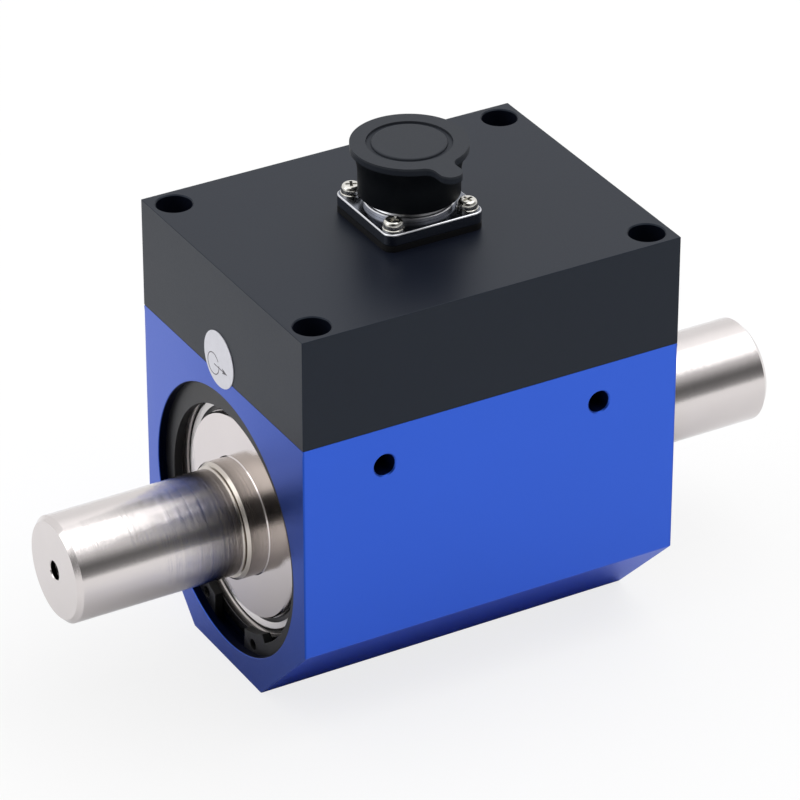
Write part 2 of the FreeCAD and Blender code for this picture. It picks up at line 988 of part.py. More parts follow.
def make_strain_gauges():
    """Foil gauges bonded round the neck, one in each quarter."""
    body = new_body("strain_gauges")
    section = new_sketch(body, "YZ_Plane")
    half_angle = cell("gauge_angle") / 2
    inner = neck_radius
    outer = neck_radius + cell("gauge_thickness")
    outline(
        section,
        [
            (inner * sine(half_angle), inner * cosine(half_angle)),
            (outer * sine(half_angle), outer * cosine(half_angle)),
            Arc(outer, (0, 0), True),
            (-(outer * sine(half_angle)), outer * cosine(half_angle)),
            (-(inner * sine(half_angle)), inner * cosine(half_angle)),
            Arc(inner, (0, 0), False),
        ],
    )
    first = pad(body, section, cell("gauge_length"), midplane=True)
    around(body, [first], "X_Axis", cell("gauge_count"))
    place(body, 0, 0, cell("axis_height"))
    return body


def core_start_depth():
    return half_length - cell("core_start") - cell("core_width")


def make_core(label, end, back, face):
    """Ferrite ring with a winding groove open at its face, drawn from back to face."""
    body = new_body(label)
    sketch = new_sketch(body, "XZ_Plane")
    start = core_start_depth()
    finish = start + cell("core_width")
    wall = cell("core_wall")
    outward = 1 if face.value > back.value else -1
    floor = face - outward * cell("coil_depth")
    outline(
        sketch,
        [
            (start, back),
            (finish, back),
            (finish, face),
            (finish - wall, face),
            (finish - wall, floor),
            (start + wall, floor),
            (start + wall, face),
            (start, face),
        ],
    )
    turn(body, sketch)
    at_end(body, end)
    return body


def make_coil(label, end, floor, face):
    """Winding that fills the core's groove, just short of the core's face."""
    play = cell("coil_play")
    start = core_start_depth() + cell("core_wall")
    width = cell("core_width") - 2 * cell("core_wall")
    low, high = (floor, face - play) if face.value > floor.value else (face + play, floor)
    body = ring(label, start, width, low, high)
    at_end(body, end)
    return body


def make_transformer(end):
    """Rotary transformer: the same core and coil section inside and outside an air gap."""
    rotor_face = land_radius + cell("rotor_core_height")
    stator_face = rotor_face + cell("core_air_gap")
    stator_back = shoulder_radius - cell("stator_core_fit")
    depth = cell("coil_depth")
    return [
        make_core(f"{end}_rotor_core", end, land_radius, rotor_face),
        make_coil(f"{end}_rotor_coil", end, rotor_face - depth, rotor_face),
        make_core(f"{end}_stator_core", end, stator_back, stator_face),
        make_coil(f"{end}_stator_coil", end, stator_face + depth, stator_face),
    ]


def make_speed_disc():
    """Thin slotted disc that the optical pickup reads."""
    body = ring(
        "speed_disc",
        cell("speed_disc_place") - cell("speed_disc_thickness") / 2,
        cell("speed_disc_thickness"),
        land_radius,
        cell("speed_disc_diameter") / 2,
    )
    slot = new_sketch(body, "YZ_Plane")
    half = cell("slot_width") / 2
    low = land_radius + cell("slot_margin")
    high = cell("speed_disc_diameter") / 2 - cell("slot_rim")
    outline(slot, [(-half, low), (half, low), (half, high), (-half, high)])
    cut = pocket(body, slot, 2 * cell("speed_disc_place"), reverse=True)
    around(body, [cut], "X_Axis", cell("slot_count"))
    place(body, 0, 0, cell("axis_height"))
    return body


def make_rotor_board():
    body = ring(
        "rotor_board",
        -(cell("rotor_board_place") + cell("rotor_board_thickness")),
        cell("rotor_board_thickness"),
        land_radius,
        cell("rotor_board_diameter") / 2,
    )
    place(body, 0, 0, cell("axis_height"))
    return body


def make_speed_pickup():
    """Fork sensor under the circuit board, straddling the speed disc."""
    body = new_body("speed_pickup")
    fork = new_sketch(body, "XZ_Plane")
    half_gap = cell("pickup_gap") / 2
    half_fork = half_gap + cell("pickup_arm")
    low = land_radius + cell("pickup_clearance")
    crotch = cell("speed_disc_diameter") / 2 + cell("speed_disc_thickness")
    top = board_bottom - cell("axis_height")
    outline(
        fork,
        [
            (-half_fork, low),
            (-half_gap, low),
            (-half_gap, crotch),
            (half_gap, crotch),
            (half_gap, low),
            (half_fork, low),
            (half_fork, top),
            (-half_fork, top),
        ],
    )
    pad(body, fork, cell("pickup_width"), midplane=True)
    place(body, cell("speed_disc_place"), 0, cell("axis_height"))
    return body


def make_circuit_board():
    body = new_body("circuit_board")
    sketch = new_sketch(body, "XY_Plane")
    rectangle(sketch, board_half_length, board_half_width)
    for x, y in four_places(standoff_x, standoff_y):
        circle(sketch, cell("board_screw_hole_radius"), x, y)
    pad(body, sketch, cell("board_thickness"))
    place(body, 0, 0, board_bottom)
    return body


def make_standoffs():
    body = new_body("board_standoff")
    sketch = new_sketch(body, "XY_Plane")
    circle(sketch, cell("standoff_radius"))
    circle(sketch, cell("board_screw_radius") + cell("thread_play"))
    pad(body, sketch, cell("standoff_height"))
    place(body, standoff_x, standoff_y, body_height)
    return at_four_corners("board_standoffs", body)


def make_board_screws():
    body = new_body("board_screw")
    sketch = new_sketch(body, "XZ_Plane")
    reach = cell("board_thickness") + cell("board_screw_grip")
    head = cell("board_screw_head_radius")
    height = cell("board_screw_head_height")
    shank = cell("board_screw_radius")
    outline(
        sketch,
        [
            (0, -reach),
            (shank, -reach),
            (shank, 0),
            (head, 0),
            (head, height / 2),
            (head - height / 2, height),
            (0, height),
        ],
    )
    turn(body, sketch, axis="V_Axis")
    place(body, standoff_x, standoff_y, board_top)
    return at_four_corners("board_screws", body)


def make_board_parts():
    """Main components on the circuit board, placed by shares of the board's half sides."""
    blocks = {
        "processor": ("chip_side", "chip_side", "chip_height", -0.61, 0.19),
        "amplifier": ("small_chip_length", "small_chip_width", "small_chip_height", -0.61, -0.48),
        "oscillator": ("small_chip_length", "small_chip_width", "small_chip_height", -0.28, -0.67),
        "converter": ("module_length", "module_width", "module_height", 0.61, 0.43),
        "choke": ("choke_side", "choke_side", "choke_height", 0.67, -0.38),
        "header": ("header_width", "header_length", "header_height", -0.86, 0),
    }
    capacitors = {"input_capacitor": (0.33, 0.67), "output_capacitor": (0.33, -0.67)}
    pieces = []
    for name, (length, width, height, along, across) in blocks.items():
        block = doc.addObject("Part::Box", name)
        bind(block, "Length", cell(length))
        bind(block, "Width", cell(width))
        bind(block, "Height", cell(height))
        corner_x = board_half_length * along - cell(length) / 2
        corner_y = board_half_width * across - cell(width) / 2
        place(block, corner_x, corner_y, board_top)
        pieces.append(block)
    for name, (along, across) in capacitors.items():
        can = doc.addObject("Part::Cylinder", name)
        bind(can, "Radius", cell("capacitor_radius"))
        bind(can, "Height", cell("capacitor_height"))
        place(can, board_half_length * along, board_half_width * across, board_top)
        pieces.append(can)
    return group("board_parts", pieces)


def flange_plate(body, thickness, hole_radius, middle_radius):
    """Round-cornered square plate with a middle hole and a hole at each corner."""
    sketch = new_sketch(body, "XY_Plane")
    half = cell("flange_width") / 2
    rounded_rectangle(sketch, half, half, cell("flange_corner"))
    circle(sketch, middle_radius)
    for x, y in four_places(flange_screw_place, flange_screw_place):
        circle(sketch, hole_radius, x, y)
    pad(body, sketch, thickness)


def make_connector_gasket():
    body = new_body("connector_gasket")
    hole = cell("flange_screw_radius") + cell("connector_fit")
    flange_plate(body, cell("gasket_thickness"), hole, cell("barrel_radius") + cell("connector_fit"))
    place(body, 0, 0, cover_top)
    return body


def make_connector_shell():
    body = new_body("connector_shell")
    hole = cell("flange_screw_radius") + cell("connector_fit")
    flange_plate(body, cell("flange_thickness"), hole, cell("barrel_bore_radius"))
    barrel = new_sketch(body, "XZ_Plane")
    bore = cell("barrel_bore_radius")
    outer = cell("barrel_radius")
    edge = cell("barrel_break")
    top = cell("barrel_height")
    ring_top = cell("flange_thickness") + cell("base_ring_height")
    tail = -cell("barrel_tail")
    outline(
        barrel,
        [
            (bore, tail),
            (outer, tail),
            (outer, cell("flange_thickness") / 2),
            (cell("base_ring_radius"), cell("flange_thickness") / 2),
            (cell("base_ring_radius"), ring_top),
            (outer, ring_top),
            (outer, top - edge),
            (outer - edge, top),
            (bore + edge, top),
            (bore, top - edge),
        ],
    )
    turn(body, barrel, axis="V_Axis")
    key = new_sketch(body, "XY_Plane", cell("insert_face"))
    inner = bore - cell("key_height")
    half = cell("key_width") / 2
    outline(key, [(-half, inner), (half, inner), (half, outer - edge), (-half, outer - edge)])
    pad(body, key, top - cell("insert_face") - 2 * edge)
    place(body, 0, 0, flange_bottom)
    return body


def make_connector_insert():
    body = new_body("connector_insert")
    sketch = new_sketch(body, "XY_Plane", -cell("barrel_tail"))
    circle(sketch, cell("barrel_bore_radius") - cell("thread_play"))
    pad(body, sketch, cell("barrel_tail") + cell("insert_face"))
    hole = new_sketch(body, "XY_Plane", cell("insert_face"))
    circle(hole, cell("pin_radius") + cell("thread_play"), 0, -cell("pin_circle_radius"))
    cut = pocket(body, hole, cell("barrel_tail") + cell("insert_face"))
    around(body, [cut], "Z_Axis", cell("pin_count"))
    place(body, 0, 0, flange_bottom)
    return body


def make_connector_pins():
    body = new_body("connector_pins")
    sketch = new_sketch(body, "XY_Plane", -(cell("barrel_tail") + cell("pin_tail")))
    circle(sketch, cell("pin_radius"), 0, -cell("pin_circle_radius"))
    first = pad(body, sketch, cell("barrel_tail") + cell("pin_tail") + cell("pin_tip_height"))
    around(body, [first], "Z_Axis", cell("pin_count"))
    place(body, 0, 0, flange_bottom)
    return body


def make_connector_leads():
    """Straight wires from the pin tails down to the circuit board."""
    body = new_body("connector_leads")
    tail = flange_bottom - cell("barrel_tail") - cell("pin_tail")
    sketch = new_sketch(body, "XY_Plane")
    circle(sketch, cell("lead_radius"), 0, -cell("pin_circle_radius"))
    first = pad(body, sketch, tail - board_top)
    around(body, [first], "Z_Axis", cell("pin_count"))
    place(body, 0, 0, board_top)
    return body


def make_connector_screws():
    """Pan-head screws with cross recesses, standing on their washers."""
    body = new_body("connector_screw")
    sketch = new_sketch(body, "XZ_Plane")
    head = cell("flange_screw_head_radius")
    height = cell("flange_screw_head_height")
    shank = cell("flange_screw_radius")
    stack = cell("washer_thickness") + cell("flange_thickness") + cell("gasket_thickness")
    length = stack + cell("flange_screw_grip")
    crown = height / 3
    outline(
        sketch,
        [
            (0, -length),
            (shank, -length),
            (shank, 0),
            (head, 0),
            (head, height - 2 * crown),
            (head - crown, height - crown / 2),
            (head / 2, height),
            (0, height),
        ],
    )
    turn(body, sketch, axis="V_Axis")
    cross = new_sketch(body, "XY_Plane", height)
    arm = cell("cross_span") / 2
    half = cell("cross_width") / 2
    outline(
        cross,
        [
            (-half, -arm),
            (half, -arm),
            (half, -half),
            (arm, -half),
            (arm, half),
            (half, half),
            (half, arm),
            (-half, arm),
            (-half, half),
            (-arm, half),
            (-arm, -half),
            (-half, -half),
        ],
    )
    pocket(body, cross, cell("cross_depth"))
    place(body, flange_screw_place, flange_screw_place, flange_top + cell("washer_thickness"))
    return at_four_corners("connector_screws", body)


def make_connector_washers():
    body = new_body("connector_washer")
    sketch = new_sketch(body, "XY_Plane")
    circle(sketch, cell("washer_radius"))
    circle(sketch, cell("flange_screw_radius") + cell("thread_play"))
    pad(body, sketch, cell("washer_thickness"))
    place(body, flange_screw_place, flange_screw_place, flange_top)
    return at_four_corners("connector_washers", body)


def make_dust_cap():
    """Rubber push-on cap: hollow skirt, flared lip with a ring groove, and a pull tab."""
    body = new_body("dust_cap")
    sketch = new_sketch(body, "XZ_Plane")
    height = cell("cap_height")
    bore = cell("barrel_radius") + cell("cap_clearance")
    ceiling = cell("barrel_height") + cell("cap_clearance") - cell("cap_skirt_bottom")
    skirt = cell("cap_skirt_radius")
    lip = cell("cap_lip_radius")
    lip_start = height - cell("cap_lip_thickness")
    edge = cell("cap_lip_break")
    groove = cell("cap_groove_radius")
    groove_floor = height - cell("cap_groove_depth")
    groove_end = groove + cell("cap_groove_width")
    outline(
        sketch,
        [
            (bore, 0),
            (skirt, 0),
            (skirt, cell("cap_flare_start")),
            (cell("cap_flare_radius"), lip_start),
            (lip, lip_start),
            (lip, height - edge),
            (lip - edge, height),
            (groove_end, height),
            (groove_end, groove_floor),
            (groove, groove_floor),
            (groove, height),
            (0, height),
            (0, ceiling),
            (bore, ceiling),
        ],
    )
    turn(body, sketch, axis="V_Axis")

    # Tab drawn pointing to -V, joined to the lip by two hollow round blends
    tab = new_sketch(body, "XY_Plane", height - cell("tab_thickness"))
    side = cell("tab_half_width")
    blend = cell("tab_blend")
    end_centre = cell("tab_reach") - side
    blend_place = side + blend
    blend_drop = other_leg(lip + blend, blend_place)
    share = lip / (lip + blend)
    touch_h = blend_place * share
    touch_v = blend_drop * share
    outline(
        tab,
        [
            (touch_h, -touch_v),
            (0, -(groove_end + edge)),
            (-touch_h, -touch_v),
            Arc(blend, (-blend_place, -blend_drop), False),
            (-side, -blend_drop),
            (-side, -end_centre),
            Arc(side, (0, -end_centre), True),
            (0, -cell("tab_reach")),
            Arc(side, (0, -end_centre), True),
            (side, -end_centre),
            (side, -blend_drop),
            Arc(blend, (blend_place, -blend_drop), False),
        ],
    )
    pad(body, tab, cell("tab_thickness"))
    body.Placement.Rotation = Rotation(Vector(0, 0, 1), SIZES["tab_turn"])
    place(body, 0, 0, flange_bottom + cell("cap_skirt_bottom"))
    return body


def make_direction_label():
    """Thin round sticker on the front face, across the seam under the cover."""
    label = doc.addObject("Part::Cylinder", "direction_label")
    label.Label = "direction_label"
    bind(label, "Radius", cell("label_diameter") / 2)
    bind(label, "Height", cell("label_thickness"))
    label.Placement.Rotation = Rotation(Vector(0, 1, 0), -90)
    place(label, -half_length, cell("label_offset"), body_height + cell("label_rise"))
    return label


nodes = [
    make_housing(),
    make_cover(),
    make_cover_seal(),
    make_cover_screw(),
    make_shaft(),
    make_strain_gauges(),
    make_speed_disc(),
    make_rotor_board(),
    make_speed_pickup(),
    make_circuit_board(),
    make_standoffs(),
    make_board_screws(),
    make_board_parts(),
    make_connector_gasket(),
    make_connector_shell(),
    make_connector_insert(),
    make_connector_pins(),
    make_connector_leads(),
    make_connector_screws(),
    make_connector_washers(),
    make_dust_cap(),
    make_direction_label(),
]
for end in ("front", "rear"):
    nodes += [
        make_outer_ring(end),
        make_inner_ring(end),
        make_shields(end),
        make_cage(end),
        make_balls(end),
        make_circlip(end),
        make_preload_ring(end),
        make_slinger(end),
    ]
    nodes += make_transformer(end)

doc.recompute()
failed = [item for item in doc.Objects if "Invalid" in item.State or "Error" in item.State]
if failed:
    users = (f"{item.Name} in {[user.Label for user in item.InList]}" for item in failed)
    raise RuntimeError("; ".join(users))
for node in nodes:
    if node.Shape.isNull() or not node.Shape.isValid():
        raise RuntimeError(f"{node.Label} has no valid shape")

os.makedirs("parts", exist_ok=True)
for node in nodes:
    node.Shape.exportStep(f"parts/{node.Label}.step")
    solids = len(node.Shape.Solids)
    print(f"{node.Label}: {solids} solid(s), {node.Shape.Volume:.1f} cubic mm")
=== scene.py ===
import json
from math import acos, asin, cos, degrees, pi, radians, sin, sqrt

import bmesh
import bpy
from mathutils import Matrix, Vector
from types import SimpleNamespace as Sizes


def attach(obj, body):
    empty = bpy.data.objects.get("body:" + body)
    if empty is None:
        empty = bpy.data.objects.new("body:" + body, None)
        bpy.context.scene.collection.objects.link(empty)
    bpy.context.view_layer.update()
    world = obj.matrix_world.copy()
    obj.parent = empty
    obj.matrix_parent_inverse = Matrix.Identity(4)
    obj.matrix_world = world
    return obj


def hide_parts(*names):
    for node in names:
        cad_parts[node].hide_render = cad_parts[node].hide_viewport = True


# Rotary torque sensor. Lengths in the dictionaries are millimetres, angles are degrees.
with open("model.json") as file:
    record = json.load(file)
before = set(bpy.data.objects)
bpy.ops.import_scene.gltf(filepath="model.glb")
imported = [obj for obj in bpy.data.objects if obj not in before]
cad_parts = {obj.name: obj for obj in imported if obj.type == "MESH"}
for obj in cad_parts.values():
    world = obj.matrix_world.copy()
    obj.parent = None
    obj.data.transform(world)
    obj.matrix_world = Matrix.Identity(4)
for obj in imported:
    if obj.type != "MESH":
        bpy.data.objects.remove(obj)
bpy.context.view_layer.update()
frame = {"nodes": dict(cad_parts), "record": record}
print("frame loaded:", len(frame["nodes"]), "parts")

mm = 0.001
axisHeight = 36.0
halfLength = 46.0
halfWidth = 36.0
seam = 72.0
coverTop = 98.0
flangeTop = coverTop + 4.2
axes = {"x": Vector((1, 0, 0)), "y": Vector((0, 1, 0)), "z": Vector((0, 0, 1))}
# how close points count as one, in mm, and how close they merge, in metres
near = 0.01
sameSpot, weld, wideWeld = 1e-7, 1e-6, 2e-6


# Mesh tools

class Pen:
    # draws one chain of edges: straight runs and round stretches in a plane
    def __init__(self, bm, start, normal="z"):
        self.bm = bm
        self.normal = axes[normal]
        self.first = bm.verts.new(Vector(start) * mm)
        self.tip = self.first

    def line(self, point):
        self.tip = bmesh.ops.extrude_vert_indiv(self.bm, verts=[self.tip])["verts"][0]
        self.tip.co = Vector(point) * mm

    def arc(self, centre, angle, steps):
        turned = bmesh.ops.spin(
            self.bm, geom=[self.tip], cent=Vector(centre) * mm, axis=self.normal,
            angle=radians(angle), steps=steps)
        self.tip = onlyVerts(turned["geom_last"])[0]

    def close(self):
        if (self.tip.co - self.first.co).length > sameSpot:
            self.bm.edges.new((self.tip, self.first))
        bmesh.ops.remove_doubles(self.bm, verts=self.bm.verts, dist=sameSpot)


def onlyVerts(geometry):
    return [g for g in geometry if isinstance(g, bmesh.types.BMVert)]


def mend(bm, distance=sameSpot):
    # merges points that meet and turns the faces outward
    bmesh.ops.remove_doubles(bm, verts=bm.verts, dist=distance)
    bmesh.ops.recalc_face_normals(bm, faces=bm.faces)


def fourCorners(x, y):
    return [(-x, -y), (x, -y), (x, y), (-x, y)]


def drawLoop(bm, points, normal="z"):
    # a closed outline with straight sides; gives back its edges
    before = set(bm.edges)
    pen = Pen(bm, points[0], normal)
    for point in points[1:]:
        pen.line(point)
    bm.edges.new((pen.tip, pen.first))
    return [e for e in bm.edges if e not in before]


def roundedLoop(bm, halfX, halfY, corner, z, steps=8):
    # the same with round corners, about the origin
    before = set(bm.edges)
    x, y = halfX - corner, halfY - corner
    pen = Pen(bm, (-x, -halfY, z))
    for start, centre in (((x, -halfY), (x, -y)), ((halfX, y), (x, y)),
                          ((-x, halfY), (-x, y)), ((-halfX, -y), (-x, -y))):
        pen.line((*start, z))
        pen.arc((*centre, z), 90, steps)
    bmesh.ops.remove_doubles(bm, verts=[pen.tip, pen.first], dist=weld)
    return [e for e in bm.edges if e not in before]


def addRing(bm, radius, centre, normal="z", steps=96):
    # a bare circle; gives back its edges
    turn = {"z": Matrix(), "x": Matrix.Rotation(pi / 2, 4, "Y"),
            "y": Matrix.Rotation(pi / 2, 4, "X")}[normal]
    place = Matrix.Translation(Vector(centre) * mm) @ turn
    made = bmesh.ops.create_circle(bm, segments=steps, radius=radius * mm, matrix=place)
    return list({e for v in made["verts"] for e in v.link_edges})


def fillFlat(bm, edges, normal="z"):
    made = bmesh.ops.triangle_fill(bm, edges=edges, use_beauty=True, normal=axes[normal])
    return [g for g in made["geom"] if isinstance(g, bmesh.types.BMFace)]


def pull(bm, edges, shift):
    # walls from open edges, moved by a shift in mm; gives back their far edges and points
    made = bmesh.ops.extrude_edge_only(bm, edges=edges)["geom"]
    verts = onlyVerts(made)
    bmesh.ops.translate(bm, verts=verts, vec=Vector(shift) * mm)
    return [g for g in made if isinstance(g, bmesh.types.BMEdge)], verts


def widen(bm, verts, centre, factor):
    place = Matrix.Translation(-Vector(centre) * mm)
    bmesh.ops.scale(bm, verts=verts, vec=(factor, factor, factor), space=place)


def arcPoints(centre, reach, start, end, steps=6):
    # profile points along an arc, from one angle to the other
    turns = [radians(start + (end - start) * step / steps) for step in range(steps + 1)]
    return [(centre[0] + reach[0] * cos(turn), centre[1] + reach[1] * sin(turn))
            for turn in turns]


def revolve(bm, profile, axis="z", centre=(0, 0, 0), steps=96):
    # a full turn of a profile of (place along the axis, radius)
    across = axes["y"] if axis == "z" else axes["z"]
    middle = Vector(centre)
    verts = [bm.verts.new((middle + axes[axis] * along + across * radius) * mm)
             for along, radius in profile]
    edges = [bm.edges.new(pair) for pair in zip(verts, verts[1:])]
    bmesh.ops.spin(
        bm, geom=verts + edges, cent=middle * mm, axis=axes[axis], angle=2 * pi,
        steps=steps, use_merge=True)
    bmesh.ops.remove_doubles(bm, verts=bm.verts, dist=weld)


def revolveOnAxis(bm, profile, steps=160):
    # the same about the sensor's own axis
    revolve(bm, profile, "x", (0, 0, axisHeight), steps)


def raiseFlat(bm, faces, height, normal="z"):
    # a flat drawn shape becomes a plate
    raised = bmesh.ops.extrude_face_region(bm, geom=faces)["geom"]
    bmesh.ops.translate(bm, verts=onlyVerts(raised), vec=axes[normal] * height * mm)
    mend(bm)


def sharpEdges(bm, angle):
    limit = radians(angle)
    return [e for e in bm.edges if len(e.link_faces) == 2 and e.calc_face_angle() > limit]


def soften(bm, size, edges=None, segments=2, sharper=30):
    # rounds sharp edges by size mm
    if edges is None:
        edges = sharpEdges(bm, sharper)
    bmesh.ops.bevel(
        bm, geom=edges, offset=size * mm, offset_type="OFFSET", segments=segments,
        profile=0.5, affect="EDGES", clamp_overlap=True, material=-1)


def addObject(name, data):
    made = bpy.data.objects.new(name, data)
    bpy.context.scene.collection.objects.link(made)
    return made


def finishPiece(name, bm, body, slotName, nodes=(), sharper=30, finish=None):
    # makes the object, which takes the finish of its slot unless another is named
    mend(bm)
    limit = radians(sharper)
    for face in bm.faces:
        face.smooth = True
    for edge in bm.edges:
        edge.smooth = len(edge.link_faces) == 2 and edge.calc_face_angle() < limit
    mesh = bpy.data.meshes.new(name)
    bm.to_mesh(mesh)
    bm.free()
    mesh.materials.append(finishes[finish or slotName])
    piece = addObject(name, mesh)
    piece.modifiers.new("evenNormals", "WEIGHTED_NORMAL").keep_sharp = True
    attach(piece, body)
    if nodes:
        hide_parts(*nodes)


# Material tools

class Wire:
    # a shader output that takes plain arithmetic
    def __init__(self, graph, socket):
        self.graph = graph
        self.socket = socket

    def __add__(self, other): return self.graph.maths("ADD", self, other)
    def __sub__(self, other): return self.graph.maths("SUBTRACT", self, other)
    def __mul__(self, other): return self.graph.maths("MULTIPLY", self, other)
    def __rsub__(self, other): return self.graph.maths("SUBTRACT", other, self)
    def __gt__(self, other): return self.graph.maths("GREATER_THAN", self, other)
    def __lt__(self, other): return self.graph.maths("LESS_THAN", self, other)
    __radd__ = __add__
    __rmul__ = __mul__


class Graph:
    # the nodes of a material or world, built from Python expressions
    def __init__(self, holder, **fixed):
        holder.use_nodes = True
        self.holder = holder
        self.tree = holder.node_tree
        self.shader = self.tree.nodes.get("Principled BSDF")
        for socket, value in fixed.items():
            self.shader.inputs[socket.replace("_", " ")].default_value = value
        self.place = self.node("ShaderNodeTexCoord", output="Object")

    def node(self, kind, settings=None, output=0, **values):
        made = self.tree.nodes.new(kind)
        for key, value in (settings or {}).items():
            if key == "stops":
                ramp = made.color_ramp
                while len(ramp.elements) < len(value):
                    ramp.elements.new(0.5)
                for element, (spot, colour) in zip(ramp.elements, value):
                    element.position = spot
                    element.color = colour
            else:
                setattr(made, key, value)
        for key, value in values.items():
            place = int(key[2:]) if key.startswith("in") else key.replace("_", " ")
            self.feed(made.inputs[place], value)
        return Wire(self, made.outputs[output])

    def feed(self, socket, value):
        if isinstance(value, Wire):
            self.tree.links.new(value.socket, socket)
        else:
            socket.default_value = value

    def maths(self, operation, a, b=0.0):
        return self.node("ShaderNodeMath", {"operation": operation}, in0=a, in1=b)

    def size(self, value):
        return self.maths("ABSOLUTE", value)

    def length(self, a, b):
        return self.maths("SQRT", a * a + b * b)

    def clamp(self, value):
        return self.node("ShaderNodeClamp", Value=value)

    def split(self, vector=None):
        first = self.node("ShaderNodeSeparateXYZ", Vector=vector or self.place)
        return [Wire(self, socket) for socket in first.socket.node.outputs]

    def smooth(self, value, low, high):
        # 0 at low and 1 at high, with a soft change between
        return self.node(
            "ShaderNodeMapRange", {"interpolation_type": "SMOOTHSTEP"}, Value=value,
            From_Min=low, From_Max=high)

    def around(self, middle, *swings):
        # a middle value that noises swing about, each by its own amount
        level = middle - sum(amount for noise, amount in swings) / 2
        for noise, amount in swings:
            level = noise * amount + level
        return level

    def mix(self, factor, a, b):
        return self.node(
            "ShaderNodeMix", {"data_type": "RGBA"}, output=2, in0=factor, in6=a, in7=b)

    def cloudy(self, noise, colour, stray):
        # a colour that gets darker and lighter with a noise
        return self.mix(noise, shade(colour, 1 - stray), shade(colour, 1 + stray))

    def stretched(self, scale):
        return self.node("ShaderNodeMapping", Vector=self.place, Scale=scale)

    def noise(self, scale, detail, vector=None, rough=0.5):
        return self.node(
            "ShaderNodeTexNoise", Vector=vector or self.place, Scale=scale, Detail=detail,
            Roughness=rough)

    def ramp(self, value, *stops):
        return self.node("ShaderNodeValToRGB", {"stops": stops}, Fac=value)

    def bump(self, height, strength, distance):
        # the distance is in mm
        return self.node(
            "ShaderNodeBump", Height=height, Strength=strength, Distance=distance * mm)

    def set(self, **links):
        for key, value in links.items():
            self.feed(self.shader.inputs[key.replace("_", " ")], value)
        return self.holder


def newMaterial(name, **fixed):
    return Graph(bpy.data.materials.new(name), **fixed)


def rgb(red, green, blue):
    # screen colour, 0 to 255, to a linear one
    def one(c):
        c /= 255
        return c / 12.92 if c <= 0.04045 else ((c + 0.055) / 1.055) ** 2.4
    return (one(red), one(green), one(blue), 1)


def shade(colour, factor):
    return (colour[0] * factor, colour[1] * factor, colour[2] * factor, 1)


def grey(level):
    return (level, level, level, 1)


# Finishes; those of one piece alone are next to its code

def makeTurned(name, colour, roughness, pitch, ringBump, axis="x", greased=(), paintedShade=None):
    # metal cut on a lathe: fine rings round the axis on every face, faint stains
    g = newMaterial(name, Metallic=1.0)
    x, y, z = g.split()
    if axis == "x":
        along, radius = x, g.length(y, z - axisHeight * mm)
    else:
        along, radius = z, g.length(x, y)
    cut = g.node("ShaderNodeCombineXYZ", X=along + radius)
    rings = g.noise(pitch, 2, cut, rough=0.6)
    stain = g.noise(110, 4, rough=0.6)
    tone = g.cloudy(stain, colour, 0.04)
    rough = g.around(roughness, (stain, 0.06), (rings, 0.05))
    if paintedShade:
        # painted shade: warmer and darker near the block, and darker inside the centre holes
        far = g.size(along)
        worn = 1 - g.smooth(far, paintedShade["start"] * mm, paintedShade["end"] * mm)
        tone = g.mix(worn * paintedShade["share"], tone, paintedShade["colour"])
        rough = rough + worn * paintedShade["roughness"]
        hole = (radius < paintedShade["shadeRadius"] * mm) * (far < paintedShade["shadeEnd"] * mm)
        tone = g.mix(hole * paintedShade["oilShare"], tone, paintedShade["oil"])
    # painted shade in the shields' grooves
    for low, high in greased:
        band = (radius > low * mm) * (radius < high * mm)
        tone = g.mix(band * grooveShadeShare, tone, grooveShade)
    return g.set(Base_Color=tone, Roughness=rough, Normal=g.bump(rings, ringBump, 0.1))


def makeRubber(name, colour, roughness):
    g = newMaterial(name, Specular_IOR_Level=0.32)
    fine = g.noise(1500, 4)
    cloud = g.noise(90, 3)
    return g.set(
        Base_Color=g.mix(cloud, shade(colour, 0.88), shade(colour, 1.14)),
        Roughness=g.around(roughness, (cloud, 0.08), (fine, 0.14)),
        Normal=g.bump(fine, 0.2, 0.05))


def makePlated(name, colour, roughness, stray=0.05):
    g = newMaterial(name, Metallic=1.0)
    cloud = g.noise(300, 3)
    fine = g.noise(2400, 2)
    return g.set(
        Base_Color=g.cloudy(cloud, colour, stray),
        Roughness=g.around(roughness, (fine, 0.04), (cloud, 0.06)),
        Normal=g.bump(fine, 0.05, 0.04))


def makePlastic(name, colour, roughness):
    g = newMaterial(name)
    fine = g.noise(1800, 3)
    return g.set(
        Base_Color=g.cloudy(g.noise(60, 2), colour, 0.1),
        Roughness=g.around(roughness, (fine, 0.1)), Normal=g.bump(fine, 0.15, 0.04))


def makeBoard(name):
    # green mask over copper tracks
    g = newMaterial(name)
    track = g.node(
        "ShaderNodeTexBrick", {"offset": 0.5}, output=1, Vector=g.place, Scale=160.0,
        Mortar_Size=0.012)
    cloud = g.noise(200, 2)
    tone = g.mix(track, rgb(20, 92, 48), rgb(32, 122, 62))
    return g.set(
        Base_Color=g.mix(cloud * 0.3, tone, rgb(12, 70, 36)),
        Roughness=g.around(0.35, (cloud, 0.1)), Normal=g.bump(track, 0.2, 0.03))


def makeCoil(name):
    # windings side by side round the shaft
    g = newMaterial(name, Metallic=1.0)
    turns = g.node(
        "ShaderNodeTexWave", {"bands_direction": "X"}, Vector=g.place, Scale=620.0,
        Distortion=0.4)
    return g.set(
        Base_Color=g.mix(turns, rgb(120, 62, 30), rgb(205, 120, 72)),
        Roughness=g.around(0.3, (turns, 0.1)), Normal=g.bump(turns, 0.6, 0.1))
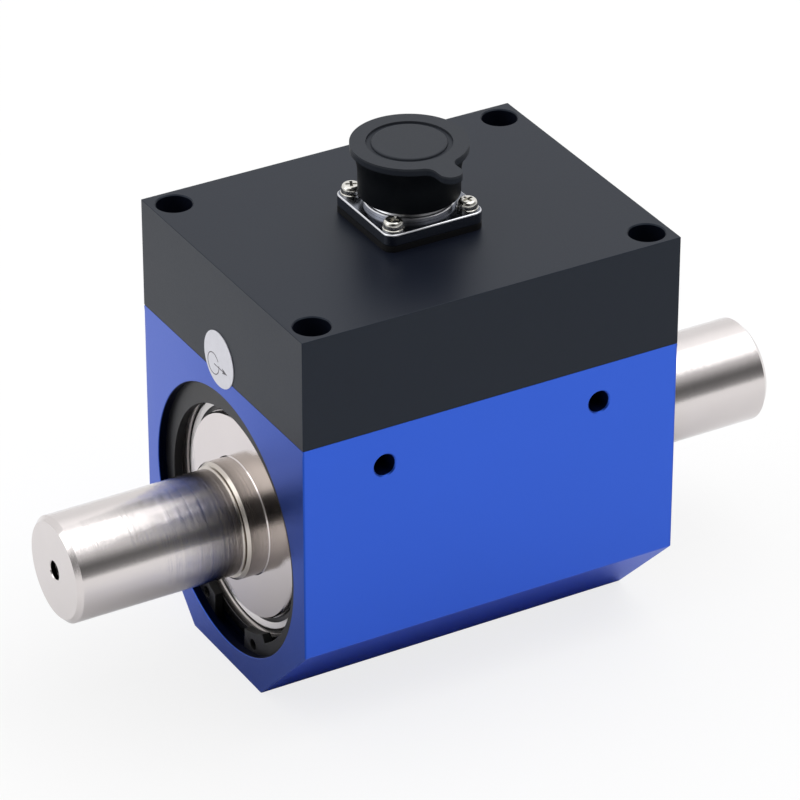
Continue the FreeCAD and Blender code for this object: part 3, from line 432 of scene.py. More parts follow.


# painted shade for the shields' grooves
grooveShade, grooveShadeShare = rgb(30, 30, 32), 0.9
finishes = {
    "polished_steel": makeTurned(
        "polishedSteel", rgb(216, 209, 208), roughness=0.08, pitch=9000, ringBump=0.1),
    "bearing_steel": makeTurned(
        "bearingSteel", rgb(202, 198, 196), roughness=0.3, pitch=26000, ringBump=0.05),
    "brass": makeTurned(
        "standoffBrass", rgb(212, 176, 104), roughness=0.24, pitch=4000, ringBump=0.3, axis="z"),
    "ball_steel": makePlated("ballSteel", rgb(222, 222, 224), roughness=0.08),
    "spring_steel": makePlated("springSteel", rgb(96, 94, 94), roughness=0.24),
    "zinc_steel": makePlated("zincSteel", rgb(216, 214, 208), roughness=0.2, stray=0.08),
    "pin_gold": makePlated("pinGold", rgb(232, 196, 110), roughness=0.18),
    "cage_nylon": makePlastic("cageNylon", rgb(150, 112, 66), roughness=0.5),
    "ferrite": makePlastic("ferrite", rgb(60, 60, 64), roughness=0.6),
    "gauge_foil": makePlastic("gaugeFoil", rgb(214, 142, 54), roughness=0.35),
    "component_black": makePlastic("componentBlack", rgb(34, 34, 36), roughness=0.45),
    "insert_black": makePlastic("insertBlack", rgb(28, 28, 30), roughness=0.3),
    "wire_red": makePlastic("wireRed", rgb(170, 34, 28), roughness=0.35),
    "rubber_black": makeRubber("rubberBlack", rgb(14, 14, 16), roughness=0.55),
    "copper": makeCoil("copperWinding"),
    "circuit_green": makeBoard("circuitGreen"),
}
print("shared finishes made:", len(finishes))


# Block with its stepped bore, side holes and lower chamfers

block = {
    "chamfer": 20.5, "edge": 0.3, "boreRadius": 31.0, "boreMouth": 0.2,
    "grooveRadius": 32.5, "grooveStart": 1.9, "grooveWidth": 2.15,
    "bearingEnd": 21.0, "shoulderRadius": 27.5,
    "holeSpacing": 52.8, "holeDrop": 9.0, "holeRadius": 2.5, "holeMouth": 2.8, "holeDepth": 12.0,
    "threadPitch": 1.0, "threadDepth": 0.5, "drillTip": 1.2, "tipShare": 0.05,
}

blueFinish = {
    "colour": (0.019, 0.1, 0.63), "roughness": 0.36, "coat": 0.5, "coatRoughness": 0.4,
    # painted light: the chamfer is painted lighter and takes less coat
    "chamferLight": 1.15, "chamferDull": 0.9,
    # painted shade in the side holes and the bore, a little past their walls
    "oil": rgb(3, 4, 10), "oilShare": 0.97, "oilRough": 0.2, "holeReach": 3.4, "holeBelow": 3.5,
    "holeFade": 0.8, "borePast": 1.0, "boreFade": 0.2,
    # painted shade: the sawn ends are darker, most towards -Y, and take less coat there
    "endDark": 0.66, "endLight": 0.82, "endCoat": (0.15, 0.6), "endFade": (0.5, 0.1), "endSpan": 40,
}


def makeBlueAnodised(name):
    s = Sizes(**blueFinish)
    g = newMaterial(name, Metallic=1.0, Coat_Roughness=s.coatRoughness)
    grain = g.noise(2600, 4)
    cloud = g.noise(35, 2)
    milled = g.noise(240, 2, g.stretched((0.02, 1, 1)))
    x, y, z = g.split()
    alongX, alongY = g.size(x), g.size(y)
    # painted shade: masks for the side holes and the bore, painted near black
    fromHole = g.size(alongX - block["holeSpacing"] / 2 * mm)
    inHole = (fromHole < s.holeReach * mm) * (
        z > (seam - block["holeDrop"] - s.holeBelow) * mm)
    inHole = inHole * g.smooth(alongY * -1, -halfWidth * mm, (s.holeFade - halfWidth) * mm)
    up = z - axisHeight * mm
    inBore = y * y + up * up < ((block["grooveRadius"] + s.borePast) * mm) ** 2
    inBore = inBore * g.smooth(alongX * -1, -halfLength * mm, (s.boreFade - halfLength) * mm)
    holeShade = inHole + inBore
    # painted shade: the ends are darker, most towards -Y
    onEnd = g.smooth(alongX, *((halfLength - fade) * mm for fade in s.endFade))
    onChamfer = (z < block["chamfer"] * mm) * (1 - onEnd)
    across = g.smooth(y, -s.endSpan * mm, s.endSpan * mm)
    # painted light: the chamfer is painted lighter
    tone = g.mix(
        onChamfer, g.cloudy(cloud, s.colour, 0.03), shade(s.colour, s.chamferLight))
    ends = g.mix(across, shade(s.colour, s.endDark), shade(s.colour, s.endLight))
    low, high = s.endCoat
    coat = onEnd * (across * (high - low) + low - s.coat) + s.coat
    return g.set(
        Base_Color=g.mix(holeShade * s.oilShare, g.mix(onEnd, tone, ends), s.oil),
        Roughness=g.around(s.roughness, (cloud, 0.05), (grain, 0.1)) + holeShade * s.oilRough,
        Coat_Weight=(1 - holeShade) * coat * (1 - onChamfer * s.chamferDull),
        Normal=g.bump(grain + milled * 0.35, 0.1, 0.06))


def makeBlock():
    s = Sizes(**block)
    bm = bmesh.new()
    flat = halfWidth - s.chamfer
    corners = [(-flat, 0), (flat, 0), (halfWidth, s.chamfer), (halfWidth, seam),
               (-halfWidth, seam), (-halfWidth, s.chamfer)]
    x = -halfLength
    mouth = s.boreRadius + s.boreMouth
    outline = drawLoop(bm, [(x, *corner) for corner in corners], "x")
    fillFlat(bm, outline + addRing(bm, mouth, (x, 0, axisHeight), "x", 160), "x")
    # the other end is its mirror image; base, chamfers and top join the two
    bmesh.ops.mirror(bm, geom=bm.verts[:] + bm.edges[:] + bm.faces[:], axis="X", merge_dist=-1)
    for a, b in ((0, 1), (1, 2), (5, 0), (3, 4)):
        strip = [nearest(bm, (end, *corners[corner]))
                 for end, corner in ((x, a), (x, b), (-x, b), (-x, a))]
        bmesh.ops.contextual_create(bm, geom=strip)
    for sign in (-1, 1):
        makeBlockSide(bm, sign)
    grooveEnd = s.grooveStart + s.grooveWidth
    profile = [(depth - halfLength, radius) for depth, radius in (
        (0, mouth), (s.boreMouth, s.boreRadius), (s.grooveStart, s.boreRadius),
        (s.grooveStart, s.grooveRadius), (grooveEnd, s.grooveRadius), (grooveEnd, s.boreRadius),
        (s.bearingEnd, s.boreRadius), (s.bearingEnd, s.shoulderRadius))]
    revolveOnAxis(bm, profile + [(-place, radius) for place, radius in reversed(profile)])
    mend(bm, wideWeld)
    outer = [e for e in sharpEdges(bm, 30) if all(onOutside(v) for v in e.verts)]
    # the edges under the cover stay sharp
    low = (seam - near) * mm
    soften(bm, s.edge, [e for e in outer if any(v.co.z <= low for v in e.verts)], 3)
    finishPiece("block", bm, "block", "blue_anodised", ["housing"])


def nearest(bm, point):
    spot = Vector(point) * mm
    return min(bm.verts, key=lambda v: (v.co - spot).length_squared)


def onOutside(vert):
    # true for a point on one of the block's long edges or end outlines
    x, y, z = abs(vert.co.x / mm), abs(vert.co.y / mm), vert.co.z / mm
    onEnd = abs(x - halfLength) < near
    onSide = abs(y - halfWidth) < near or z < near or abs(z - seam) < near
    onChamfer = abs(halfWidth - y + z - block["chamfer"]) < near
    return (onEnd and (onSide or onChamfer)) or (onSide and onChamfer)


def makeBlockSide(bm, sign):
    # flat side with its two threaded holes
    s = Sizes(**block)
    y = sign * halfWidth
    z = seam - s.holeDrop
    edges = drawLoop(bm, [
        (-halfLength, y, s.chamfer), (halfLength, y, s.chamfer),
        (halfLength, y, seam), (-halfLength, y, seam)], "y")
    root = s.holeRadius + s.threadDepth
    for x in (-s.holeSpacing / 2, s.holeSpacing / 2):
        depth = 0

        def goIn(rim, further, growth):
            # a stretch of wall that goes further in and widens or narrows
            inner, verts = pull(bm, rim, (0, -sign * further, 0))
            widen(bm, verts, (x, y - sign * (depth + further), z), growth)
            return inner, depth + further, verts

        rim = addRing(bm, s.holeMouth, (x, y, z), "y", 48)
        edges += rim
        rim, depth, verts = goIn(rim, s.holeMouth - s.holeRadius, s.holeRadius / s.holeMouth)
        # each thread turn: down the flank and back
        while depth < s.holeDepth - s.threadPitch:
            for growth in (root / s.holeRadius, s.holeRadius / root):
                rim, depth, verts = goIn(rim, s.threadPitch / 2, growth)
        rim, depth, verts = goIn(rim, s.drillTip, s.tipShare)
        bmesh.ops.contextual_create(bm, geom=verts)
    fillFlat(bm, edges, "y")


finishes["blue_anodised"] = makeBlueAnodised("blueAnodised")
makeBlock()
print("block made")


# Electronics cover with its four screw bores

cover = {
    "edge": 0.14, "screwX": 40.7, "screwY": 30.7, "boreRadius": 4.0, "boreBreak": 0.25,
    "boreDepth": 18.0, "screwRadius": 2.25, "cavityX": 38.0, "cavityY": 23.0, "cavityTop": 93.0,
    "cavityCorner": 5.0, "passage": 9.3,
}


def makeBlackAnodised(name):
    g = newMaterial(name, Specular_IOR_Level=0.3, Specular_Tint=(0.72, 0.85, 1.0, 1))
    grain = g.noise(2600, 4)
    cloud = g.noise(30, 2)
    milled = g.noise(300, 2, g.stretched((0.02, 1, 1)))
    return g.set(
        Base_Color=g.mix(cloud, rgb(11, 15, 27), rgb(14, 18, 31)),
        Roughness=g.around(0.405, (cloud, 0.05), (grain, 0.1)),
        Normal=g.bump(grain + milled * 0.4, 0.12, 0.06))


def onWall(vert):
    x, y = abs(vert.co.x / mm), abs(vert.co.y / mm)
    return abs(x - halfLength) < near or abs(y - halfWidth) < near


def makeCover():
    s = Sizes(**cover)
    bm = bmesh.new()
    corners = fourCorners(halfLength, halfWidth)
    topRim = drawLoop(bm, [(*corner, coverTop) for corner in corners])
    bottomRim = drawLoop(bm, [(*corner, seam) for corner in corners])
    topEdges, bottomEdges = topRim[:], bottomRim[:]
    mouth = s.boreRadius + s.boreBreak
    for x, y in fourCorners(s.screwX, s.screwY):
        edges = addRing(bm, mouth, (x, y, coverTop), steps=64)
        topEdges += edges
        edges, verts = pull(bm, edges, (0, 0, -s.boreBreak))
        widen(bm, verts, (x, y, coverTop - s.boreBreak), s.boreRadius / mouth)
        edges, verts = pull(bm, edges, (0, 0, s.boreBreak - s.boreDepth))
        edges, verts = pull(bm, edges, (0, 0, 0))
        widen(bm, verts, (x, y, coverTop - s.boreDepth), s.screwRadius / s.boreRadius)
        edges, verts = pull(bm, edges, (0, 0, seam - coverTop + s.boreDepth))
        bottomEdges += edges
    passageTop = addRing(bm, s.passage, (0, 0, coverTop))
    passageEnd, verts = pull(bm, passageTop, (0, 0, s.cavityTop - coverTop))
    cavity = roundedLoop(bm, s.cavityX, s.cavityY, s.cavityCorner, seam)
    ceiling, verts = pull(bm, cavity, (0, 0, s.cavityTop - seam))
    fillFlat(bm, topEdges + passageTop)
    fillFlat(bm, bottomEdges + cavity)
    fillFlat(bm, ceiling + passageEnd)
    bmesh.ops.bridge_loops(bm, edges=topRim + bottomRim)
    mend(bm, wideWeld)
    outer = [e for e in sharpEdges(bm, 30) if all(onWall(v) for v in e.verts)]
    soften(bm, s.edge, outer, 3)
    finishPiece("coverShell", bm, "block", "black_anodised", ["cover"])


finishes["black_anodised"] = makeBlackAnodised("blackAnodised")
makeCover()
print("cover made")


# Turned shaft: ends, relief grooves, collars, bearing seats, wide lands, neck

shaft = {
    "reach": 87.0, "radius": 12.0, "chamfer": 1.1, "edge": 0.3,
    "reliefRadius": 11.6, "reliefWidth": 0.8, "reliefCurve": 0.6, "reliefLip": (0.06, 0.1),
    "collarRadius": 13.25, "collarReach": 1.1, "collarBreak": 0.65,
    "seatRadius": 15.0, "seatStart": 25.0, "seatEnd": 41.0, "landRadius": 18.0, "landStart": 10.0,
    "neckRadius": 9.0, "neckFillet": 3.0,
    "holeRadius": 2.1, "holeDepth": 14.0, "holeMouth": 0.25, "drillTip": 1.2,
    "threadPitch": 0.8, "threadDepth": 0.35, "threadFrom": 1.0, "threadTo": 1.5,
}

shaftPaintedShade = {
    # painted reflection: warmer and darker near the block, standing in for the shaded floor it
    # reflects; rougher there too
    "start": 46.0, "end": 68.0, "share": 0.5, "roughness": 0.1, "colour": (0.42, 0.37, 0.29, 1),
    # painted shade in the centre holes
    "shadeRadius": shaft["holeRadius"] + shaft["threadDepth"] + shaft["holeMouth"],
    "shadeEnd": 86.8, "oilShare": 0.94, "oil": rgb(14, 13, 12),
}


def shaftHalf():
    s = Sizes(**shaft)
    tip = s.reach
    holeEnd = tip - s.holeDepth
    half = [(holeEnd - s.drillTip, 0), (holeEnd, s.holeRadius)]
    x = holeEnd + s.threadFrom
    while x < tip - s.threadTo:
        half += [(x, s.holeRadius), (x + s.threadPitch / 2, s.holeRadius + s.threadDepth)]
        x += s.threadPitch
    half += [(tip - s.holeMouth, s.holeRadius), (tip, s.holeRadius + s.holeMouth)]
    half += [(tip, s.radius - s.chamfer), (tip - s.chamfer, s.radius)]
    collarEnd = halfLength + s.collarReach
    reliefEnd = collarEnd + s.reliefWidth
    root, curve = s.reliefRadius, s.reliefCurve
    lip, deep = s.reliefLip
    half += [(reliefEnd, s.radius), (reliefEnd - lip, s.radius - deep), (reliefEnd - deep, root)]
    half += arcPoints((collarEnd + curve, root + curve), (curve, curve), -90, -180)
    edge = s.edge
    half += [
        (collarEnd, s.collarRadius - s.collarBreak), (collarEnd - s.collarBreak, s.collarRadius),
        (s.seatEnd, s.collarRadius), (s.seatEnd, s.seatRadius - edge),
        (s.seatEnd - edge, s.seatRadius), (s.seatStart, s.seatRadius),
        (s.seatStart, s.landRadius - edge), (s.seatStart - edge, s.landRadius),
        (s.landStart + edge, s.landRadius), (s.landStart, s.landRadius - edge)]
    # a quarter circle from the land's face down to the neck
    fillet = s.neckFillet
    return half + arcPoints(
        (s.landStart - fillet, s.neckRadius + fillet), (fillet, fillet), 0, -90)


def makeShaft():
    half = shaftHalf()
    bm = bmesh.new()
    revolveOnAxis(bm, half + [(-place, radius) for place, radius in reversed(half)], 192)
    finishPiece("turnedShaft", bm, "rotor", "turned_steel", ["shaft"], sharper=25)


finishes["turned_steel"] = makeTurned(
    "turnedSteel", rgb(214, 208, 207), roughness=0.1, pitch=26000, ringBump=0.2, paintedShade=shaftPaintedShade)
makeShaft()
print("shaft made")


# Slingers, shields, bearing rings, preload rings: turned pieces at both ends

slinger = {"inner": 13.25, "outer": 23.25, "front": 4.0, "back": 5.0, "bead": 0.22, "edge": 0.3}
preload = {"inner": 27.3, "outer": 30.0, "front": 3.9, "back": 5.0, "edge": 0.12}
outerRing = {"inner": 27.0, "outer": 31.0, "edge": 1.0, "front": 5.0, "back": 21.0, "middle": 13.0,
             "raceRadius": 4.94, "pitchRadius": 23.0}
shield = {
    "inner": 20.5, "outer": 27.0, "inset": 0.3, "thick": 0.5,
    # (radius, depth): two grooves and the sloping rib between them
    "form": ((23.4, 0), (23.6, 0.5), (24.5, 0.5), (24.6, 0.4), (25.85, 0), (25.95, 0.4),
             (26.45, 0.4), (26.55, 0)),
    # radii between which the grooves are painted dark as shade
    "greased": ((23.4, 24.58), (25.9, 26.52)),
}


def turnAtEnd(bm, side, depths):
    # depths: closed outline of (depth from the end face, radius)
    profile = [(side * (halfLength - depth), radius) for depth, radius in depths]
    revolveOnAxis(bm, profile + profile[:1])


def makeTurnedPieces(end, side):
    bm = bmesh.new()
    s = Sizes(**slinger)
    turnAtEnd(bm, side, [
        (s.back, s.inner), (s.front - s.bead, s.inner), (s.front, s.inner + s.bead),
        (s.front, s.outer - s.edge), (s.front + s.edge, s.outer), (s.back, s.outer)])
    finishPiece(f"{end}Slinger", bm, "rotor", "polished_steel", [f"{end}_slinger"])
    bm = bmesh.new()
    s = Sizes(**preload)
    turnAtEnd(bm, side, [
        (s.front, s.inner), (s.front, s.outer), (s.back, s.outer), (s.back, s.inner)])
    mend(bm)
    soften(bm, s.edge, sharper=35)
    finishPiece(f"{end}PreloadRing", bm, "block", "bearing_steel", [f"{end}_preload_ring"],
                finish="spring_steel")
    # the raceway is the stretch of the balls' circle outside the ring's inner radius
    bm = bmesh.new()
    s = Sizes(**outerRing)
    reach = degrees(acos((s.inner - s.pitchRadius) / s.raceRadius))
    turnAtEnd(bm, side, [
        (s.front, s.inner), (s.front, s.outer - s.edge), (s.front + s.edge, s.outer),
        (s.back - s.edge, s.outer), (s.back, s.outer - s.edge), (s.back, s.inner)] + arcPoints(
        (s.middle, s.pitchRadius), (s.raceRadius, s.raceRadius), 90 - reach, 90 + reach, 12))
    finishPiece(f"{end}OuterRing", bm, "block", "bearing_steel", [f"{end}_outer_ring"])
    bm = bmesh.new()
    faces = ((s.front, 1), (s.back, -1))
    s = Sizes(**shield)
    for ringFace, inward in faces:
        front = ringFace + inward * s.inset
        back = front + inward * s.thick
        face = [(front + inward * dip, radius) for radius, dip in s.form]
        rear = [(back + inward * dip, radius) for radius, dip in reversed(s.form)]
        turnAtEnd(bm, side, [(front, s.inner), *face, (front, s.outer),
                             (back, s.outer), *rear, (back, s.inner)])
    finishPiece(f"{end}Shields", bm, "block", "shield_steel", [f"{end}_shields"])


# Circlip: eccentric band with two lugs and plier holes

circlip = {
    "front": 1.9, "thick": 2.0, "outer": 32.3, "halfGap": 6.8, "lugRadius": 26.2, "lugWidth": 8.0,
    "bandRadius": 27.0, "bandDrop": 23.2, "lugStep": 1.2, "holeRadius": 1.25, "holePitch": 29.2,
    "turn": 4.5, "edge": 0.15,
}


def makeBlackSteel(name):
    # phosphated spring steel: near black, with a satin sheen
    g = newMaterial(name, Specular_IOR_Level=0.4)
    cloud = g.noise(260, 4)
    fine = g.noise(3000, 3)
    # painted shade: the edges and inner face are painted darker than the stamped outer face
    face = g.size(g.split()[0]) > (halfLength - circlip["front"] - 0.05) * mm
    return g.set(
        Base_Color=g.mix(face, rgb(6, 6, 8), g.mix(cloud, rgb(17, 17, 20), rgb(32, 32, 36))),
        Metallic=face * 0.4,
        Roughness=g.around(0.59 - face * 0.22, (fine, 0.06), (cloud, 0.12)),
        Normal=g.bump(fine, 0.15, 0.04))


def drop(radius, across):
    # how far below its centre a circle is, this far across
    return sqrt(radius ** 2 - across ** 2)


def swing(radius, across):
    return degrees(asin(across / radius))


def makeCirclip(end):
    s = Sizes(**circlip)
    bm = bmesh.new()
    x = -halfLength + s.front
    gap = s.halfGap
    lugEnd = gap + s.lugWidth
    bandStart = lugEnd + s.lugStep
    bandCentre = drop(s.bandRadius, bandStart) - s.bandDrop
    lugTurn = swing(s.lugRadius, lugEnd) - swing(s.lugRadius, gap)
    pen = Pen(bm, (x, gap, -drop(s.outer, gap)), "x")
    pen.arc((x, 0, 0), 360 - 2 * swing(s.outer, gap), 150)
    pen.line((x, -gap, -drop(s.lugRadius, gap)))
    pen.arc((x, 0, 0), -lugTurn, 8)
    pen.line((x, -bandStart, -s.bandDrop))
    pen.arc((x, 0, bandCentre), 2 * swing(s.bandRadius, bandStart) - 360, 130)
    pen.line((x, lugEnd, -drop(s.lugRadius, lugEnd)))
    pen.arc((x, 0, 0), -lugTurn, 8)
    pen.close()
    across = gap + s.lugWidth / 2
    for sign in (-1, 1):
        addRing(bm, s.holeRadius, (x, sign * across, -drop(s.holePitch, across)), "x", 32)
    raiseFlat(bm, fillFlat(bm, bm.edges[:], "x"), s.thick, "x")
    soften(bm, s.edge, sharper=50)
    turn = Matrix.Rotation(radians(s.turn), 4, "X")
    if end == "rear":
        turn = Matrix.Rotation(pi, 4, "Z") @ turn
    place = Matrix.Translation((0, 0, axisHeight * mm)) @ turn
    bmesh.ops.transform(bm, matrix=place, verts=bm.verts)
    finishPiece(f"{end}Circlip", bm, "block", "black_steel", [f"{end}_circlip"])


finishes["shield_steel"] = makeTurned(
    "shieldSteel", rgb(222, 218, 217), roughness=0.3, pitch=26000, ringBump=0.05,
    greased=shield["greased"])
finishes["black_steel"] = makeBlackSteel("blackSteel")
for endName, endSide in (("front", -1), ("rear", 1)):
    makeTurnedPieces(endName, endSide)
    makeCirclip(endName)
print("bearing ends made")


# Connector: gasket, flange with barrel, washers, cross-recess screws

flange = {
    "half": 12.0, "corner": 2.5, "bottom": coverTop + 1.4, "top": flangeTop, "edge": 0.35,
    "gasketHole": 9.3, "gasketEdge": 0.2, "screwPlace": 9.1, "screwHole": 1.35, "screwClear": 1.5,
    "ringRadius": 9.9, "ringTop": flangeTop + 1.0, "ringEdge": 0.2, "ringFoot": 0.8,
    "barrelRadius": 9.2, "barrelTop": coverTop + 14.2, "bore": 7.5, "mouth": 0.4,
    "lap": 0.1, "tail": coverTop - 4.6, "threadPitch": 1.0, "threadDepth": 0.5, "threadStart": 1.6,
    "threadTurns": 6,
    # (height, depth under the barrel's radius) in one turn, (drop, depth) at the tip
    "threadForm": ((0, 0.5), (0.35, 0.06), (0.55, 0.06), (0.9, 0.5)),
    "tipForm": ((0.5, 0.35), (0, 0.75)),
    "keyWidth": 1.6, "keyHeight": 0.8, "keyRoot": 0.6, "keyDrop": 1.0, "keyEdge": 0.15,
    "insertFace": coverTop + 5.4,
    # painted highlight on the rounded rim; above and below the plate the bright plating stays
    "brightRim": (flangeTop - 0.34, flangeTop - 0.02), "brightFrom": flangeTop + 0.04,
    "brightTo": coverTop + 1,
}


def makeFlangeNickel(name, dull, bright):
    # painted shade and highlight: the plate is painted darker and its rounded rim brighter; the
    # barrel keeps the bright plating
    g = newMaterial(name, Metallic=1.0)
    cloud = g.noise(300, 3)
    fine = g.noise(2400, 2)
    z = g.split()[2]
    low, high = flange["brightRim"]
    rim = (z > low * mm) * (z < high * mm)
    brightParts = g.clamp(rim + (z > flange["brightFrom"] * mm) + (z < flange["brightTo"] * mm))
    return g.set(
        Base_Color=g.mix(cloud * 0.12, g.mix(brightParts, dull, bright), rgb(70, 72, 78)),
        Roughness=g.around(brightParts * 0.08 + 0.22, (fine, 0.04), (cloud, 0.06)),
        Normal=g.bump(fine, 0.05, 0.04))


def makeGasket():
    s = Sizes(**flange)
    bm = bmesh.new()
    edges = roundedLoop(bm, s.half, s.half, s.corner, coverTop)
    edges += addRing(bm, s.gasketHole, (0, 0, coverTop))
    raiseFlat(bm, fillFlat(bm, edges), s.bottom - coverTop)
    soften(bm, s.gasketEdge, sharper=50)
    finishPiece("flangeGasket", bm, "block", "rubber_black", ["connector_gasket"], sharper=40)


def makeFlange():
    s = Sizes(**flange)
    bm = bmesh.new()
    r, ring, top = s.barrelRadius, s.ringRadius, s.ringTop
    edges = roundedLoop(bm, s.half, s.half, s.corner, s.bottom)
    edges += addRing(bm, r - s.lap, (0, 0, s.bottom))
    places = [(*corner, s.bottom) for corner in fourCorners(s.screwPlace, s.screwPlace)]
    for place in places:
        edges += addRing(bm, s.screwHole, place, steps=24)
    raiseFlat(bm, fillFlat(bm, edges), s.top - s.bottom)

    def onRim(vert):
        # on the plate's outline, so neither at the barrel nor at a screw hole
        holes = min((vert.co - Vector(place) * mm).to_2d().length for place in places)
        return vert.co.to_2d().length > (s.half - 1) * mm and holes > s.screwClear * mm

    soften(bm, s.edge, [e for e in sharpEdges(bm, 50) if all(onRim(v) for v in e.verts)], 3)
    profile = [(s.top, r), (s.top, ring), (top - s.ringEdge, ring),
               (top, ring - s.ringEdge), (top, r), (top + s.ringFoot, r - s.threadDepth)]
    z = top + s.threadStart
    for turn in range(s.threadTurns):
        profile += [(z + height, r - depth) for height, depth in s.threadForm]
        z += s.threadPitch
    profile += [(s.barrelTop - height, r - depth) for height, depth in s.tipForm]
    profile += [(s.barrelTop, s.bore + s.mouth), (s.barrelTop - s.mouth, s.bore),
                (s.tail, s.bore), (s.tail, r)]
    revolve(bm, profile + profile[:1])
    finishPiece("connectorFlange", bm, "block", "connector_nickel", ["connector_shell"], 35)
    # locating key inside the barrel
    bm = bmesh.new()
    bmesh.ops.create_cube(bm, size=mm)
    height = s.barrelTop - s.insertFace - s.keyDrop
    depth = s.keyHeight + s.keyRoot
    middle = Vector((0, s.bore + s.keyRoot - depth / 2, s.insertFace + height / 2))
    bmesh.ops.scale(bm, vec=(s.keyWidth, depth, height), verts=bm.verts)
    bmesh.ops.translate(bm, vec=middle * mm, verts=bm.verts)
    soften(bm, s.keyEdge)
    finishPiece("barrelKey", bm, "block", "connector_nickel", sharper=40)


screw = {
    # side in X, side in Y, how far the cross is turned
    "places": ((1, 1, 20), (-1, 1, 65), (-1, -1, 38), (1, -1, 12)), "place": 9.1,
    "washerTop": flangeTop + 0.5, "washerRadius": 2.35, "washerThick": 0.5, "washerHole": 1.3,
    "washerEdge": 0.12, "headRadius": 2.2, "headHeight": 1.8, "headEdge": 0.1, "dome": 1.2,
    "flatRadius": 1.45, "crossSpan": 1.25, "crossHalf": 0.32, "crossDepth": 0.9,
    "crossTaper": 0.55, "shankRadius": 1.25, "length": 8.7,
}


def makeScrew(bm, x, y, turn):
    # pan head over its washer, drawn about the origin and then placed
    s = Sizes(**screw)
    part = bmesh.new()
    base = s.washerTop
    top = base + s.headHeight
    profile = arcPoints(
        (top - s.dome, s.flatRadius), (s.dome, s.headRadius - s.flatRadius), 0, 90)
    profile += [
        (base + s.headEdge, s.headRadius), (base, s.headRadius - s.headEdge),
        (base, s.shankRadius), (base - s.length, s.shankRadius), (base - s.length, 0)]
    revolve(part, profile, steps=40)
    rim = [e for e in part.edges if e.is_boundary]
    arm, half = s.crossSpan, s.crossHalf
    cross = drawLoop(part, [(*corner, top) for corner in (
        (-half, -arm), (half, -arm), (half, -half), (arm, -half), (arm, half), (half, half),
        (half, arm), (-half, arm), (-half, half), (-arm, half), (-arm, -half), (-half, -half))])
    fillFlat(part, rim + cross)
    floor, verts = pull(part, cross, (0, 0, -s.crossDepth))
    widen(part, verts, (0, 0, top - s.crossDepth), s.crossTaper)
    bmesh.ops.contextual_create(part, geom=floor)
    spot = Matrix.Translation(Vector((x, y, 0)) * mm)
    turned = Matrix.Rotation(radians(turn), 4, "Z")
    bmesh.ops.transform(part, matrix=spot @ turned, verts=part.verts)
    # all four screws are one piece
    mesh = bpy.data.meshes.new("joined")
    part.to_mesh(mesh)
    part.free()
    bm.from_mesh(mesh)
    bpy.data.meshes.remove(mesh)


def makeScrews():
    s = Sizes(**screw)
    screws = bmesh.new()
    washers = bmesh.new()
    top, bottom, outer = s.washerTop, s.washerTop - s.washerThick, s.washerRadius
    washer = [(bottom, outer), (top - s.washerEdge, outer), (top, outer - s.washerEdge),
              (top, s.washerHole), (bottom, s.washerHole), (bottom, outer)]
    for sideX, sideY, turn in s.places:
        x, y = sideX * s.place, sideY * s.place
        makeScrew(screws, x, y, turn)
        revolve(washers, washer, "z", (x, y, 0), 48)
    finishPiece("flangeScrews", screws, "block", "zinc_steel", ["connector_screws"])
    finishPiece("flangeWashers", washers, "block", "zinc_steel", ["connector_washers"])


finishes["connector_nickel"] = makeFlangeNickel(
    "connectorNickel", dull=rgb(120, 124, 134), bright=rgb(226, 227, 232))
makeGasket()
makeFlange()
makeScrews()
print("connector made")


# Rubber dust cap: hollow skirt, flared lip, ring groove, pull tab

cap = {
    "top": coverTop + 18.5, "lip": 12.8, "lipThick": 1.7, "edge": 0.45,
    "tabReach": 18.8, "tabHalf": 2.6, "blend": 2.5, "turn": 2.3,
    # (depth under the top, radius): the ring groove and the disc inside it
    "groove": ((0, 9.35), (0.15, 9.3), (0.5, 9.25), (0.5, 8.2), (0.15, 8.15), (0.02, 7.98),
               (0, 7.7), (0, 0)),
    # the skirt, down its outside and up its inside to the ceiling
    "skirt": ((1.7, 12.3), (3.0, 11.8), (4.3, 11.45), (5.6, 11.2), (7.1, 11.1), (11.6, 11.1),
              (11.9, 10.8), (11.9, 9.7), (11.7, 9.5), (4.0, 9.5), (4.0, 0)),
    # depths between which the painted light on the top and on the lip comes in
    "dusty": (0.7, 0.3), "worn": (2.1, 1.3),
}


def makeCapRubber(name):
    # painted light: lighter on top and on the lip, where light falls from above; plain black round
    # the skirt
    g = newMaterial(name, Specular_IOR_Level=0.14, Specular_Tint=(0.75, 0.88, 1.0, 1))
    fine = g.noise(2200, 4)
    cloud = g.noise(90, 3)
    topLit, lipLit = (g.smooth(g.split()[2], *((cap["top"] - depth) * mm for depth in cap[part]))
                    for part in ("dusty", "worn"))
    skirt = g.mix(lipLit, rgb(5, 6, 9), rgb(32, 35, 42))
    dusty = g.mix(cloud, rgb(46, 48, 53), rgb(52, 54, 59))
    return g.set(
        Base_Color=g.mix(topLit, skirt, dusty),
        Roughness=g.around(0.51, (cloud, 0.08), (fine, 0.14)), Normal=g.bump(fine, 0.15, 0.05))


